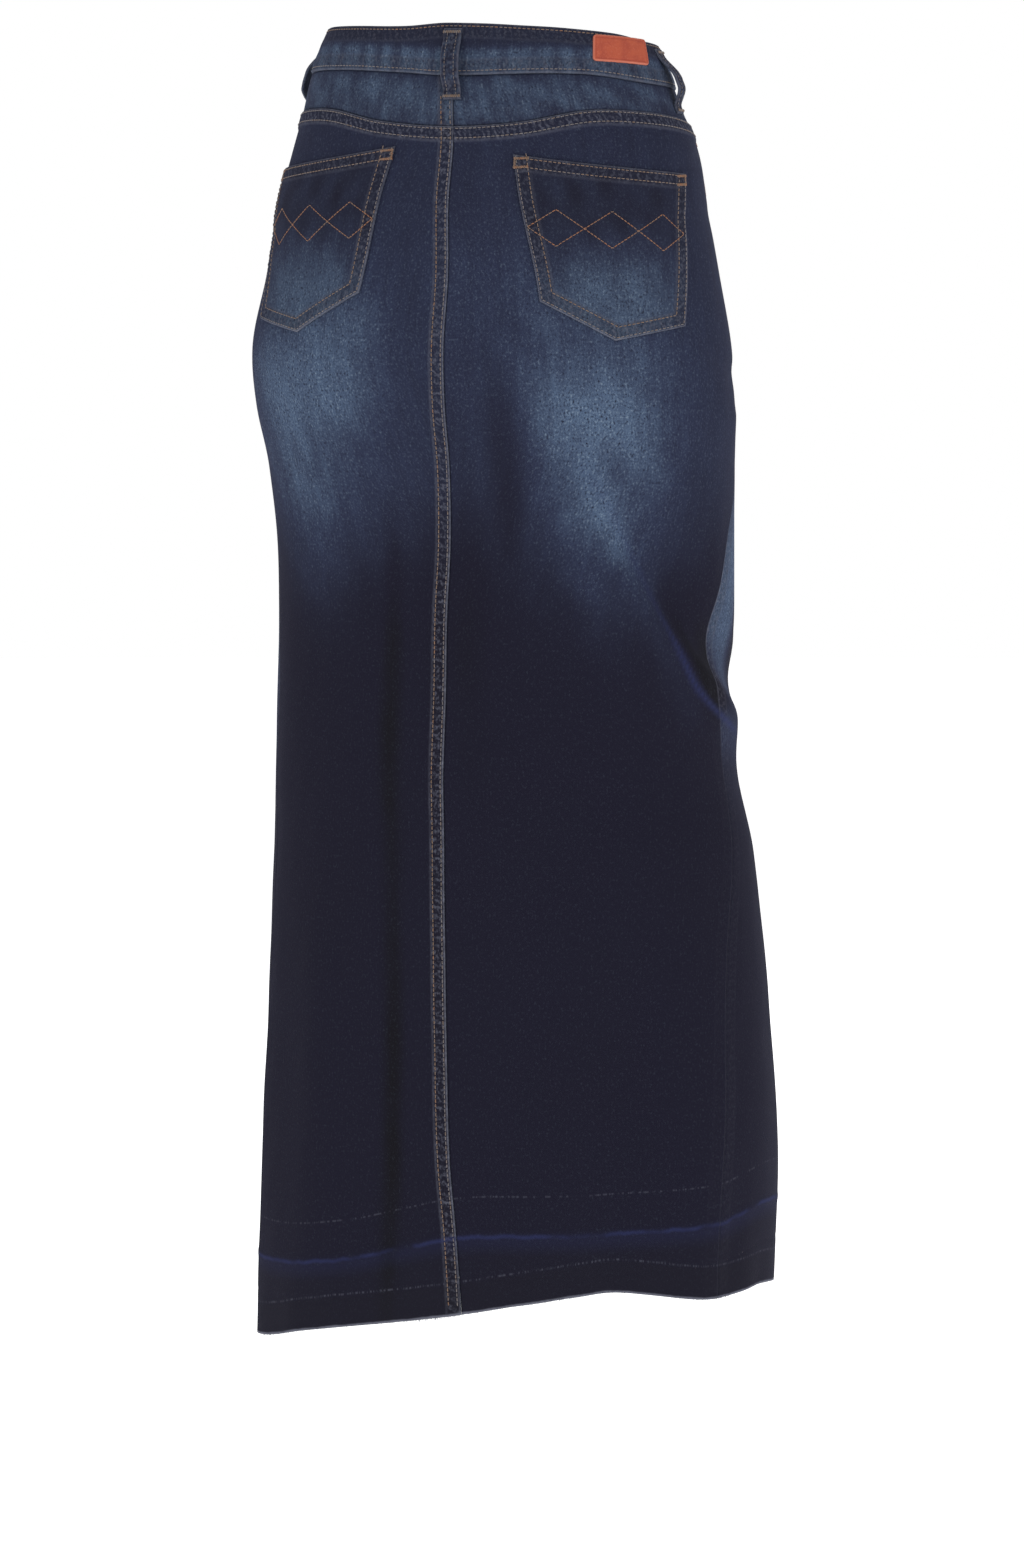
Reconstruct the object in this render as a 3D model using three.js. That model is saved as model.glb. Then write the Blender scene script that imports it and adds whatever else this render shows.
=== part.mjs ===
// An ankle-length denim skirt, worn and empty: a hollow tube of cut and sewn panels.
// Millimetres, +Z up. The front faces -Y and the wearer's left is +X.
// The origin is in the middle of the waistband, where the wearer's waist holds the skirt up.
// Every place on the cloth is an angle and a drop. The angle goes round the body in degrees:
// 0 at the wearer's right side, 90 at the centre back, 180 at the left side and 270 at the
// centre front. The drop is the distance below the origin.
import * as THREE from 'three';

// Thickness of each kind of piece, and the gap that parts two pieces at a seam
const SEAM_GAP = 0.3;
const CLOTH = 1.5;
const WAISTBAND_THICKNESS = 3.0;
const WAISTBAND_FACE = 1.6;
const POCKET_THICKNESS = 1.7;
const PATCH_THICKNESS = 1.4;
const LOOP_THICKNESS = 2.2;

// Sections of the tube. Widths and depths are half sizes, shift moves the section's middle to
// the wearer's left, and every size is a distance in millimetres.
const SECTION_SHAPE = 2.15;
const SECTIONS = [
  { drop: -20, halfWidth: 117, back: 85, front: 83, shift: 5 },
  { drop: 16, halfWidth: 133, back: 91, front: 88, shift: 4 },
  { drop: 42, halfWidth: 141, back: 98, front: 93, shift: 2 },
  { drop: 70, halfWidth: 151, back: 104, front: 98, shift: 0 },
  { drop: 110, halfWidth: 160, back: 110, front: 103, shift: 2 },
  { drop: 160, halfWidth: 169, back: 115, front: 107, shift: 2 },
  { drop: 210, halfWidth: 179, back: 119, front: 109, shift: 3 },
  { drop: 255, halfWidth: 179, back: 119, front: 110, shift: 0 },
  { drop: 300, halfWidth: 174, back: 117, front: 111, shift: -5 },
  { drop: 370, halfWidth: 170, back: 115, front: 114, shift: -8 },
  { drop: 450, halfWidth: 171, back: 118, front: 119, shift: -8 },
  { drop: 520, halfWidth: 172, back: 122, front: 123, shift: -8 },
  { drop: 580, halfWidth: 179, back: 126, front: 127, shift: -14 },
  { drop: 700, halfWidth: 186, back: 131, front: 134, shift: -19 },
  { drop: 800, halfWidth: 191, back: 134, front: 139, shift: -20 },
  { drop: 950, halfWidth: 191, back: 136, front: 145, shift: -15 },
];

// Angle of each long seam on its way down
const SEAMS = [
  { drop: -20, right: -10, back: 87.5, left: 190 },
  { drop: 100, right: -10, back: 87.3, left: 190 },
  { drop: 180, right: -10, back: 86.5, left: 190 },
  { drop: 290, right: -10, back: 89, left: 180 },
  { drop: 350, right: 0, back: 90.5, left: 171 },
  { drop: 400, right: 6, back: 92, left: 167 },
  { drop: 450, right: 10, back: 92, left: 163 },
  { drop: 500, right: 7, back: 92, left: 162 },
  { drop: 535, right: 5, back: 92.5, left: 161 },
  { drop: 580, right: 9, back: 94, left: 160 },
  { drop: 640, right: 15, back: 94.5, left: 160 },
  { drop: 710, right: 19, back: 94.5, left: 160 },
  { drop: 790, right: 21.5, back: 93.5, left: 160 },
  { drop: 850, right: 22.5, back: 90.5, left: 160 },
  { drop: 950, right: 22, back: 86, left: 160 },
];
const CENTRE_FRONT = 270;

// Edges that run round the body: the waistband's two edges, the yoke seam and the hem
const TOP_EDGE = [
  { angle: -90, drop: -3 }, { angle: -50, drop: -3 }, { angle: -19, drop: -3.5 },
  { angle: 5, drop: -5 }, { angle: 21, drop: -9.5 }, { angle: 48, drop: -13.5 },
  { angle: 90, drop: -17 }, { angle: 112, drop: -15.5 }, { angle: 161, drop: -18.5 },
  { angle: 200, drop: -14 }, { angle: 235, drop: -7 }, { angle: 270, drop: -3 },
];
const BAND_EDGE = [
  { angle: -90, drop: 31 }, { angle: -50, drop: 30 }, { angle: -19, drop: 28 },
  { angle: 15, drop: 25 }, { angle: 37, drop: 20 }, { angle: 90, drop: 20.5 },
  { angle: 112, drop: 17.5 }, { angle: 150, drop: 13 }, { angle: 180, drop: 14 },
  { angle: 215, drop: 22 }, { angle: 250, drop: 29 }, { angle: 270, drop: 31 },
];
const YOKE_SEAM = [
  { angle: -12, drop: 54 }, { angle: 0, drop: 50 }, { angle: 19, drop: 46.5 },
  { angle: 37, drop: 46 }, { angle: 61, drop: 54.5 }, { angle: 90, drop: 57 },
  { angle: 119, drop: 52 }, { angle: 142, drop: 42 }, { angle: 161, drop: 41 },
  { angle: 180, drop: 45 }, { angle: 192, drop: 48 },
];
const HEM_EDGE = [
  { angle: -90, drop: 905 }, { angle: -50, drop: 902 }, { angle: -19, drop: 897 },
  { angle: 5, drop: 889 }, { angle: 24, drop: 892 }, { angle: 45, drop: 885.5 },
  { angle: 66, drop: 893 }, { angle: 90, drop: 904 }, { angle: 125, drop: 918.5 },
  { angle: 139, drop: 926 }, { angle: 157, drop: 937 }, { angle: 172, drop: 936 },
  { angle: 190, drop: 929 }, { angle: 225, drop: 914 }, { angle: 270, drop: 905 },
];

// Folds, each a soft ridge (rise above 0) or trough along a line that bows sideways.
// above and below are its widths on the two sides, and it fades out towards both ends.
const FOLDS = [
  { fromAngle: -24, fromDrop: 503, toAngle: 52, toDrop: 312, rise: 5.5, above: 11, below: 46, bow: 32 },
  { fromAngle: -31, fromDrop: 477, toAngle: 44, toDrop: 287, rise: -7, above: 24, below: 24, bow: 32 },
  { fromAngle: 26, fromDrop: 560, toAngle: 27, toDrop: 1080, rise: 4, above: 20, below: 20, bow: 0 },
  { fromAngle: 44, fromDrop: 620, toAngle: 46, toDrop: 1080, rise: -5, above: 20, below: 22, bow: 0 },
  { fromAngle: 108, fromDrop: 430, toAngle: 112, toDrop: 1080, rise: -3, above: 26, below: 22, bow: 0 },
  { fromAngle: 136, fromDrop: 560, toAngle: 138, toDrop: 1080, rise: 3, above: 26, below: 24, bow: 0 },
  { fromAngle: -24, fromDrop: 330, toAngle: -20, toDrop: 465, rise: 4, above: 18, below: 16, bow: 0 },
  { fromAngle: -26, fromDrop: 500, toAngle: -6, toDrop: 520, rise: -5, above: 14, below: 14, bow: 0 },
  { fromAngle: -62, fromDrop: 520, toAngle: -60, toDrop: 1080, rise: 6, above: 26, below: 30, bow: 0 },
  { fromAngle: -91, fromDrop: 470, toAngle: -89, toDrop: 1080, rise: -6, above: 30, below: 30, bow: 0 },
  { fromAngle: 236, fromDrop: 480, toAngle: 238, toDrop: 1080, rise: 6, above: 28, below: 26, bow: 0 },
  { fromAngle: 206, fromDrop: 540, toAngle: 207, toDrop: 1080, rise: -4, above: 22, below: 22, bow: 0 },
  { fromAngle: -70, fromDrop: 150, toAngle: -30, toDrop: 120, rise: -2, above: 10, below: 16, bow: 6 },
  { fromAngle: 205, fromDrop: 120, toAngle: 250, toDrop: 150, rise: -2, above: 10, below: 16, bow: 6 },
  { fromAngle: 215, fromDrop: 380, toAngle: 262, toDrop: 470, rise: 3, above: 14, below: 26, bow: 10 },
];
const FOLD_FADE = 0.3;
const FOLD_ARC = 2.9;

// Fullness of the seat, shaped by the yoke, and the ridge that each side seam makes low down
const SEAT = { angles: [60, 120], drop: 215, rise: 4, wide: 26, tall: 80 };
const SIDE_RIDGE = { rise: 6, reach: 45, from: 520, over: 250 };

// Felled seams: the left panel lies doubled over the right one along this strip
const FELL = { width: 10, rise: 1.1, fade: 3 };
const FLY = { width: 38, end: 178, rise: 1.2, fade: 4 };

// Rows of the panels below the yoke, with closer rows where the thigh folds lie
const SHARED_TOP = 100;
const ROW_BANDS = [
  { from: 100, to: 290, rows: 9 },
  { from: 290, to: 550, rows: 17 },
  { from: 550, to: 905, rows: 14 },
];
const NOMINAL_HEM = 905;
const BACK_COLUMNS = 14;
const FRONT_COLUMNS = 11;
const YOKE_ROWS = 3;

// Back patch pocket: distances from the centre back seam and drops of its five corners
const BACK_POCKET = {
  topInner: { out: 44.5, drop: 74.5 },
  topOuter: { out: 182.5, drop: 86.5 },
  lowInner: { out: 68, drop: 178.5 },
  point: { out: 124, drop: 206 },
  lowOuter: { out: 179, drop: 195.5 },
  topBow: 2,
  edgeSink: 0.5,
  columns: 12,
  rows: 10,
};
const POCKET_SLANT = { right: 3.5, left: -3.5 };

// Front scoop pocket mouth, from the waistband down to the side seam
const SCOOP = {
  across: 85, down: 68, steps: 6, under: 8, recess: 3.8, narrow: 30, lip: 27,
  columns: 9, rows: 7, lastSwing: 82,
};

// Belt loops, sewn on from a little under the waistband's upper edge to past its lower one: start
// and past are those two distances. beneath is the height of the doubled cloth that a loop's lower
// end lies on. Between its ends a loop bows out, later from the top than from the bottom.
const LOOP_WIDTH = 13;
const LOOP_ROWS = 14;
const LOOP_SEAT = { topFlat: 3, topRise: 20, lowFlat: 5, lowRise: 12, stepFlat: 4, stepRise: 8 };
const LOOPS = [
  { name: 'belt_loop_back', angle: 87.5, start: 4.5, past: 18, standOff: 6, beneath: 1.2 },
  { name: 'belt_loop_side_right', angle: 0, start: 5, past: 19.5, standOff: 6, beneath: 0 },
  { name: 'belt_loop_side_left', angle: 181, start: 8, past: 27, standOff: 6.5, beneath: 0 },
  { name: 'belt_loop_front_right', angle: -60, start: 2, past: 17, standOff: 9.5, beneath: 0 },
  { name: 'belt_loop_front_left', angle: 240, start: 2, past: 17, standOff: 9.5, beneath: 0 },
];

// Waistband's overlap at the centre front, patch, button and zip
const OVERLAP = { under: 14, over: 9, liftFrom: 244, liftTo: 255, lift: 3.4 };
const PATCH = { out: 124.5, drop: 2.8, width: 48, height: 19, slope: 0.045 };
const BUTTON = { radius: 8.5, height: 3.4, angle: 270, drop: 13.5 };
const ZIP = { halfWidth: 14, end: 172, thickness: 1.2 };
const SLIDER = { halfWidth: 4.5, height: 11, thickness: 3, drop: 42 };

const DEGREE = Math.PI / 180;
const ANGLE_STEP = 1;
const DROP_STEP = 2;
const WALK_STEPS = 24;

// Soft step from 0 to 1
function smooth(x) {
  const t = Math.min(1, Math.max(0, x));
  return t * t * (3 - 2 * t);
}

// Difference of two angles, between -180 and 180
function turn(angle) {
  return ((((angle + 180) % 360) + 360) % 360) - 180;
}

// Smooth curve through one column of a table: a cubic between rows, whose slope at each row is
// that of the line through its two neighbours
function column(rows, at, key) {
  const last = rows.length - 1;
  const slopes = rows.map((row, i) => {
    const before = rows[Math.max(0, i - 1)];
    const after = rows[Math.min(last, i + 1)];
    return (after[key] - before[key]) / (after[at] - before[at]);
  });
  return (value) => {
    const x = Math.min(rows[last][at], Math.max(rows[0][at], value));
    let i = 0;
    while (i < last - 1 && rows[i + 1][at] < x) i += 1;
    const span = rows[i + 1][at] - rows[i][at];
    const t = (x - rows[i][at]) / span;
    const t2 = t * t;
    const t3 = t2 * t;
    return (2 * t3 - 3 * t2 + 1) * rows[i][key] + (t3 - 2 * t2 + t) * span * slopes[i]
      + (3 * t2 - 2 * t3) * rows[i + 1][key] + (t3 - t2) * span * slopes[i + 1];
  };
}

const halfWidthAt = column(SECTIONS, 'drop', 'halfWidth');
const backAt = column(SECTIONS, 'drop', 'back');
const frontAt = column(SECTIONS, 'drop', 'front');
const shiftAt = column(SECTIONS, 'drop', 'shift');
const seamRight = column(SEAMS, 'drop', 'right');
const seamBack = column(SEAMS, 'drop', 'back');
const seamLeft = column(SEAMS, 'drop', 'left');
const topEdge = column(TOP_EDGE, 'angle', 'drop');
const bandEdge = column(BAND_EDGE, 'angle', 'drop');
const yokeSeam = column(YOKE_SEAM, 'angle', 'drop');
const hemEdge = column(HEM_EDGE, 'angle', 'drop');

// Height of one fold at a place on the cloth
function foldRise(fold, angle, drop) {
  const middle = (fold.fromAngle + fold.toAngle) / 2;
  const x = (turn(angle - middle) - (fold.fromAngle - middle)) * FOLD_ARC;
  const y = drop - fold.fromDrop;
  const dx = (fold.toAngle - fold.fromAngle) * FOLD_ARC;
  const dy = fold.toDrop - fold.fromDrop;
  const length = Math.hypot(dx, dy);
  const along = (x * dx + y * dy) / (length * length);
  const across = (y * dx - x * dy) / length - fold.bow * 4 * along * (1 - along);
  const width = across < 0 ? fold.above : fold.below;
  const fade = smooth(along / FOLD_FADE) * smooth((1 - along) / FOLD_FADE);
  return fold.rise * Math.exp(-((across / width) ** 2)) * fade;
}

// Distance of the cloth from the section's middle
function radius(angle, drop) {
  const c = Math.cos(angle * DEGREE);
  const s = Math.sin(angle * DEGREE);
  const depth = s > 0 ? backAt(drop) : frontAt(drop);
  const oval = Math.abs(c / halfWidthAt(drop)) ** SECTION_SHAPE + Math.abs(s / depth) ** SECTION_SHAPE;
  let r = oval ** (-1 / SECTION_SHAPE);
  for (const at of SEAT.angles) {
    const wide = turn(angle - at) / SEAT.wide;
    const tall = (drop - SEAT.drop) / SEAT.tall;
    r += SEAT.rise * Math.exp(-wide * wide - tall * tall);
  }
  const low = smooth((drop - SIDE_RIDGE.from) / SIDE_RIDGE.over);
  for (const seam of [seamRight(drop), seamLeft(drop)]) {
    const away = Math.abs(turn(angle - seam)) * DEGREE * r;
    r += low * SIDE_RIDGE.rise * Math.exp(-away / SIDE_RIDGE.reach);
  }
  for (const fold of FOLDS) r += foldRise(fold, angle, drop);
  return r;
}

// Place on the cloth's face
function place(angle, drop) {
  const r = radius(angle, drop);
  const x = shiftAt(drop) - r * Math.cos(angle * DEGREE);
  return new THREE.Vector3(x, r * Math.sin(angle * DEGREE), -drop);
}

// Outward direction of the cloth's face
function outward(angle, drop) {
  const round = place(angle + ANGLE_STEP, drop).sub(place(angle - ANGLE_STEP, drop));
  const down = place(angle, drop + DROP_STEP).sub(place(angle, drop - DROP_STEP));
  return round.cross(down).normalize();
}

// Angle reached by walking a distance round the body at one drop
function walk(start, drop, distance) {
  let angle = start;
  const step = distance / WALK_STEPS;
  for (let i = 0; i < WALK_STEPS; i += 1) {
    const half = step / radius(angle, drop) / DEGREE / 2;
    const slope = place(angle + half + ANGLE_STEP, drop).distanceTo(place(angle + half - ANGLE_STEP, drop));
    angle += (step * 2 * ANGLE_STEP) / slope;
  }
  return angle;
}

// Angle of a seam, moved aside by half of the gap
function beside(seam, drop, side) {
  return seam + (side * SEAM_GAP / 2) / radius(seam, drop) / DEGREE;
}

// A wall: a grid of places on the cloth, its outer points moved out by top and its inner
// points by base, closed round its four edges
function wall(columns, rows, spot, top, base) {
  const count = (columns + 1) * (rows + 1);
  const positions = new Float32Array(count * 2 * 3);
  for (let j = 0; j <= rows; j += 1) {
    for (let i = 0; i <= columns; i += 1) {
      const { angle, drop } = spot(i, j);
      const at = place(angle, drop);
      const out = outward(angle, drop);
      const index = j * (columns + 1) + i;
      const outer = at.clone().addScaledVector(out, top(i, j, angle, drop));
      const inner = at.clone().addScaledVector(out, base(i, j, angle, drop));
      outer.toArray(positions, index * 3);
      inner.toArray(positions, (count + index) * 3);
    }
  }
  const triangles = [];
  const outerAt = (i, j) => j * (columns + 1) + i;
  const innerAt = (i, j) => count + outerAt(i, j);
  const quad = (a, b, c, d) => triangles.push(a, b, c, a, c, d);
  for (let j = 0; j < rows; j += 1) {
    for (let i = 0; i < columns; i += 1) {
      quad(outerAt(i, j), outerAt(i + 1, j), outerAt(i + 1, j + 1), outerAt(i, j + 1));
      quad(innerAt(i, j), innerAt(i, j + 1), innerAt(i + 1, j + 1), innerAt(i + 1, j));
    }
  }
  for (let i = 0; i < columns; i += 1) {
    quad(outerAt(i + 1, 0), outerAt(i, 0), innerAt(i, 0), innerAt(i + 1, 0));
    quad(outerAt(i, rows), outerAt(i + 1, rows), innerAt(i + 1, rows), innerAt(i, rows));
  }
  for (let j = 0; j < rows; j += 1) {
    quad(outerAt(0, j), outerAt(0, j + 1), innerAt(0, j + 1), innerAt(0, j));
    quad(outerAt(columns, j + 1), outerAt(columns, j), innerAt(columns, j), innerAt(columns, j + 1));
  }
  const geometry = new THREE.BufferGeometry();
  geometry.setAttribute('position', new THREE.BufferAttribute(positions, 3));
  geometry.setIndex(triangles);
  return geometry;
}

const mix = (a, b, t) => a + (b - a) * t;
const constant = (value) => () => value;

// Materials: dark indigo denim, its faded and doubled parts, the patch and the metal
const denim = (name, colour) => new THREE.MeshStandardMaterial({ name, color: colour, roughness: 0.9, metalness: 0 });
const DENIM_DARK = denim('denim_dark', '#232230');
const DENIM_YOKE = denim('denim_yoke', '#353c53');
const DENIM_POCKET = denim('denim_pocket', '#3a405c');
const DENIM_BAND = denim('denim_band', '#2f3243');
const PATCH_HIDE = new THREE.MeshStandardMaterial({ name: 'patch', color: '#b45945', roughness: 0.6, metalness: 0 });
const METAL = new THREE.MeshStandardMaterial({ name: 'metal', color: '#8a6a4c', roughness: 0.4, metalness: 1 });
const TAPE = denim('tape', '#1f2030');

const skirt = new THREE.Group();
skirt.name = 'denim_skirt';

function add(name, geometry, material) {
  const mesh = new THREE.Mesh(geometry, material);
  mesh.name = name;
  skirt.add(mesh);
  return mesh;
}

// Fractions of the way from the shared level to the hem at which the panels have a row
function sharedFractions() {
  const fractions = [];
  for (const band of ROW_BANDS) {
    for (let k = 1; k <= band.rows; k += 1) {
      const level = mix(band.from, band.to, k / band.rows);
      fractions.push((level - SHARED_TOP) / (NOMINAL_HEM - SHARED_TOP));
    }
  }
  return fractions;
}
const FRACTIONS = sharedFractions();

// Drop of a row below the shared level, found along a seam that moves round as it goes down
function sharedDrop(angle, fraction) {
  return mix(SHARED_TOP, hemEdge(angle), fraction);
}

// Angle and drop where a shared row meets a long seam
function seamPoint(seam, fraction, side) {
  let drop = sharedDrop(seam(SHARED_TOP), fraction);
  for (let pass = 0; pass < 4; pass += 1) drop = sharedDrop(seam(drop), fraction);
  return { angle: beside(seam(drop), drop, side), drop };
}

// Rise of the doubled strip on the left side of a felled seam
function fellRise(distance) {
  return FELL.rise * smooth((FELL.width + FELL.fade - distance) / FELL.fade);
}

function backPanel(side) {
  const left = side === 'left';
  const startSeam = left ? seamBack : seamRight;
  const endSeam = left ? seamLeft : seamBack;
  const yokeRows = YOKE_ROWS;
  const spot = (i, j) => {
    const u = i / BACK_COLUMNS;
    if (j <= yokeRows) {
      const down = j / yokeRows;
      const edgeDrop = mix(yokeSeam(0) + SEAM_GAP, SHARED_TOP, down);
      const from = beside(startSeam(edgeDrop), edgeDrop, 1);
      const to = beside(endSeam(edgeDrop), edgeDrop, -1);
      const angle = mix(from, to, u);
      return { angle, drop: mix(yokeSeam(angle) + SEAM_GAP, SHARED_TOP, down) };
    }
    const fraction = FRACTIONS[j - yokeRows - 1];
    const from = seamPoint(startSeam, fraction, 1);
    const to = seamPoint(endSeam, fraction, -1);
    const angle = mix(from.angle, to.angle, u);
    if (i === 0) return from;
    if (i === BACK_COLUMNS) return to;
    return { angle, drop: sharedDrop(angle, fraction) };
  };
  const top = (i, j, angle, drop) => {
    const underYoke = fellRise(drop - yokeSeam(angle));
    const besideBack = left ? fellRise((angle - seamBack(drop)) * DEGREE * radius(angle, drop)) : 0;
    return Math.max(underYoke, besideBack);
  };
  const rows = yokeRows + FRACTIONS.length;
  add(`back_panel_${side}`, wall(BACK_COLUMNS, rows, spot, top, constant(-CLOTH)), DENIM_DARK);
}

function backYoke(side) {
  const left = side === 'left';
  const spot = (i, j) => {
    const u = i / BACK_COLUMNS;
    const start = left ? beside(seamBack(40), 40, 1) : beside(seamRight(40), 40, 1);
    const end = left ? beside(seamLeft(40), 40, -1) : beside(seamBack(40), 40, -1);
    const angle = mix(start, end, u);
    return { angle, drop: mix(bandEdge(angle) + SEAM_GAP, yokeSeam(angle) - SEAM_GAP, j / YOKE_ROWS) };
  };
  const top = (i, j, angle, drop) => (
    left ? fellRise((angle - seamBack(drop)) * DEGREE * radius(angle, drop)) : 0
  );
  add(`back_yoke_${side}`, wall(BACK_COLUMNS, YOKE_ROWS, spot, top, constant(-CLOTH)), DENIM_YOKE);
}

// Front panel: its rows leave the centre front and end on the scoop, then on the side seam
function frontPanel(side) {
  const left = side === 'left';
  const seam = left ? seamLeft : seamRight;
  const away = left ? 1 : -1;
  const centre = left ? CENTRE_FRONT : CENTRE_FRONT - 360;
  const mouthRows = SCOOP.steps;
  const spot = (i, j) => {
    const u = i / FRONT_COLUMNS;
    let edge;
    let dropAt;
    if (j <= mouthRows) {
      const swing = (j / mouthRows) * 90 * DEGREE;
      const seamDrop = bandEdge(seam(0)) + SEAM_GAP + SCOOP.down * Math.sin(swing);
      const out = away * (SCOOP.across * Math.cos(swing) + SEAM_GAP / 2);
      const angle = walk(seam(seamDrop), seamDrop, out);
      edge = { angle };
      dropAt = (at) => bandEdge(at) + SEAM_GAP + SCOOP.down * Math.sin(swing);
    } else {
      const fraction = FRACTIONS[j - mouthRows - 2];
      edge = j === mouthRows + 1
        ? { angle: beside(seam(SHARED_TOP), SHARED_TOP, away), drop: SHARED_TOP }
        : seamPoint(seam, fraction, away);
      dropAt = j === mouthRows + 1 ? constant(SHARED_TOP) : (at) => sharedDrop(at, fraction);
    }
    const drop = edge.drop ?? dropAt(edge.angle);
    const middle = beside(centre, drop, -away);
    const across = left ? u : 1 - u;
    const angle = mix(edge.angle, middle, across);
    if (across === 0 && edge.drop !== undefined) return edge;
    return { angle, drop: dropAt(angle) };
  };
  const top = (i, j, angle, drop) => {
    if (!left) return 0;
    const distance = (CENTRE_FRONT - angle) * DEGREE * radius(angle, drop);
    const fly = FLY.rise * smooth((FLY.width - distance) / FLY.fade) * smooth((FLY.end - drop) / FLY.fade / 4);
    return Math.max(fly, fellRise(distance));
  };
  const rows = mouthRows + 1 + FRACTIONS.length;
  add(`front_panel_${side}`, wall(FRONT_COLUMNS, rows, spot, top, constant(-CLOTH)), DENIM_DARK);
}

// Facing of the front pocket, seen inside the scoop: level with the side seam at its outer edge,
// it sinks towards the mouth and reaches a little under the front panel
function pocketFacing(side) {
  const left = side === 'left';
  const seam = left ? seamLeft : seamRight;
  const away = left ? 1 : -1;
  const { across, down, under, recess, columns, rows, lastSwing } = SCOOP;
  const swingAt = (j) => (j / rows) * lastSwing * DEGREE;
  const outAt = (i, j) => {
    const u = left ? i / columns : 1 - i / columns;
    return mix(SEAM_GAP / 2, (across + under) * Math.cos(swingAt(j)), u);
  };
  const downAt = (j) => (down + under) * Math.sin(swingAt(j));
  const spot = (i, j) => {
    const seamDrop = bandEdge(seam(0)) + downAt(j);
    const angle = walk(seam(seamDrop), seamDrop, away * outAt(i, j));
    return { angle, drop: bandEdge(angle) + SEAM_GAP + downAt(j) };
  };
  const face = (i, j) => {
    const mouth = across * Math.sqrt(Math.max(0, 1 - (downAt(j) / down) ** 2));
    const open = smooth((mouth - SCOOP.narrow) / SCOOP.narrow);
    const sink = smooth(outAt(i, j) / Math.max(1, mouth - SCOOP.lip));
    return -recess * (1 - open * (1 - sink));
  };
  const geometry = wall(columns, rows, spot, face, (i, j) => face(i, j) - CLOTH);
  add(`front_pocket_facing_${side}`, geometry, DENIM_POCKET);
}

// Back patch pocket: five sides, its face sinking a little towards its edges
function backPocket(side) {
  const left = side === 'left';
  const away = left ? 1 : -1;
  const slant = POCKET_SLANT[side];
  const { topInner, topOuter, lowInner, point, lowOuter, columns, rows } = BACK_POCKET;
  const pointAt = (point.out - lowInner.out) / (lowOuter.out - lowInner.out);
  const spot = (i, j) => {
    const u = left ? i / columns : 1 - i / columns;
    const v = j / rows;
    const bow = BACK_POCKET.topBow * 4 * u * (1 - u);
    const topOut = mix(topInner.out, topOuter.out, u);
    const topDrop = mix(topInner.drop, topOuter.drop, u) + bow;
    const lowOut = mix(lowInner.out, lowOuter.out, u);
    const lowDrop = u < pointAt
      ? mix(lowInner.drop, point.drop, u / pointAt)
      : mix(point.drop, lowOuter.drop, (u - pointAt) / (1 - pointAt));
    const drop = mix(topDrop, lowDrop, v) + slant;
    return { angle: walk(seamBack(drop), drop, away * mix(topOut, lowOut, v)), drop };
  };
  const top = (i, j) => {
    const edge = i === 0 || j === 0 || i === columns || j === rows;
    return SEAM_GAP + POCKET_THICKNESS - (edge ? BACK_POCKET.edgeSink : 0);
  };
  add(`back_pocket_${side}`, wall(columns, rows, spot, top, constant(SEAM_GAP)), DENIM_POCKET);
}

// Waistband: one ring, open at the centre front, whose left end is lifted over the right one
function waistband() {
  const columns = 64;
  const rows = 3;
  const start = CENTRE_FRONT - 360 - OVERLAP.under;
  const end = CENTRE_FRONT + OVERLAP.over;
  const spot = (i, j) => {
    const angle = mix(start, end, i / columns);
    const wrapped = angle < -90 ? angle + 360 : angle > 270 ? angle - 360 : angle;
    return { angle, drop: mix(topEdge(wrapped), bandEdge(wrapped), j / rows) };
  };
  const lift = (angle) => OVERLAP.lift * smooth((angle - OVERLAP.liftFrom) / (OVERLAP.liftTo - OVERLAP.liftFrom));
  const top = (i, j, angle) => WAISTBAND_FACE + lift(angle);
  const base = (i, j, angle) => WAISTBAND_FACE - WAISTBAND_THICKNESS + lift(angle);
  add('waistband', wall(columns, rows, spot, top, base), DENIM_BAND);
}

// Belt loop: a folded strip that stands off the waistband between its two sewn ends
function beltLoop({ name, angle, start, past, standOff, beneath }) {
  const columns = 2;
  const upper = topEdge(angle) + start;
  const lower = bandEdge(angle) + past;
  const topSeat = WAISTBAND_FACE + SEAM_GAP;
  const spot = (i, j) => {
    const drop = mix(upper, lower, j / LOOP_ROWS);
    const out = (i / columns - 0.5) * LOOP_WIDTH;
    return { angle: walk(angle, drop, out), drop };
  };
  const seat = (drop) => {
    const fromTop = smooth((drop - upper - LOOP_SEAT.topFlat) / LOOP_SEAT.topRise);
    const fromBottom = smooth((lower - LOOP_SEAT.lowFlat - drop) / LOOP_SEAT.lowRise);
    const onBand = smooth((lower - LOOP_SEAT.stepFlat - drop) / LOOP_SEAT.stepRise);
    const base = mix(SEAM_GAP + beneath, topSeat, onBand);
    return base + standOff * fromTop * fromBottom;
  };
  const base = (i, j, at, drop) => seat(drop);
  const top = (i, j, at, drop) => seat(drop) + LOOP_THICKNESS;
  add(name, wall(columns, LOOP_ROWS, spot, top, base), DENIM_BAND);
}

// Patch sewn flat on the waistband
function waistPatch() {
  const columns = 8;
  const rows = 3;
  const spot = (i, j) => {
    const out = PATCH.out + (0.5 - i / columns) * PATCH.width;
    const drop = PATCH.drop + (j / rows - 0.5) * PATCH.height + PATCH.slope * (out - PATCH.out);
    return { angle: walk(seamBack(drop), drop, -out), drop };
  };
  const seat = WAISTBAND_FACE + SEAM_GAP;
  add('waist_patch', wall(columns, rows, spot, constant(seat + PATCH_THICKNESS), constant(seat)), PATCH_HIDE);
}

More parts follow.
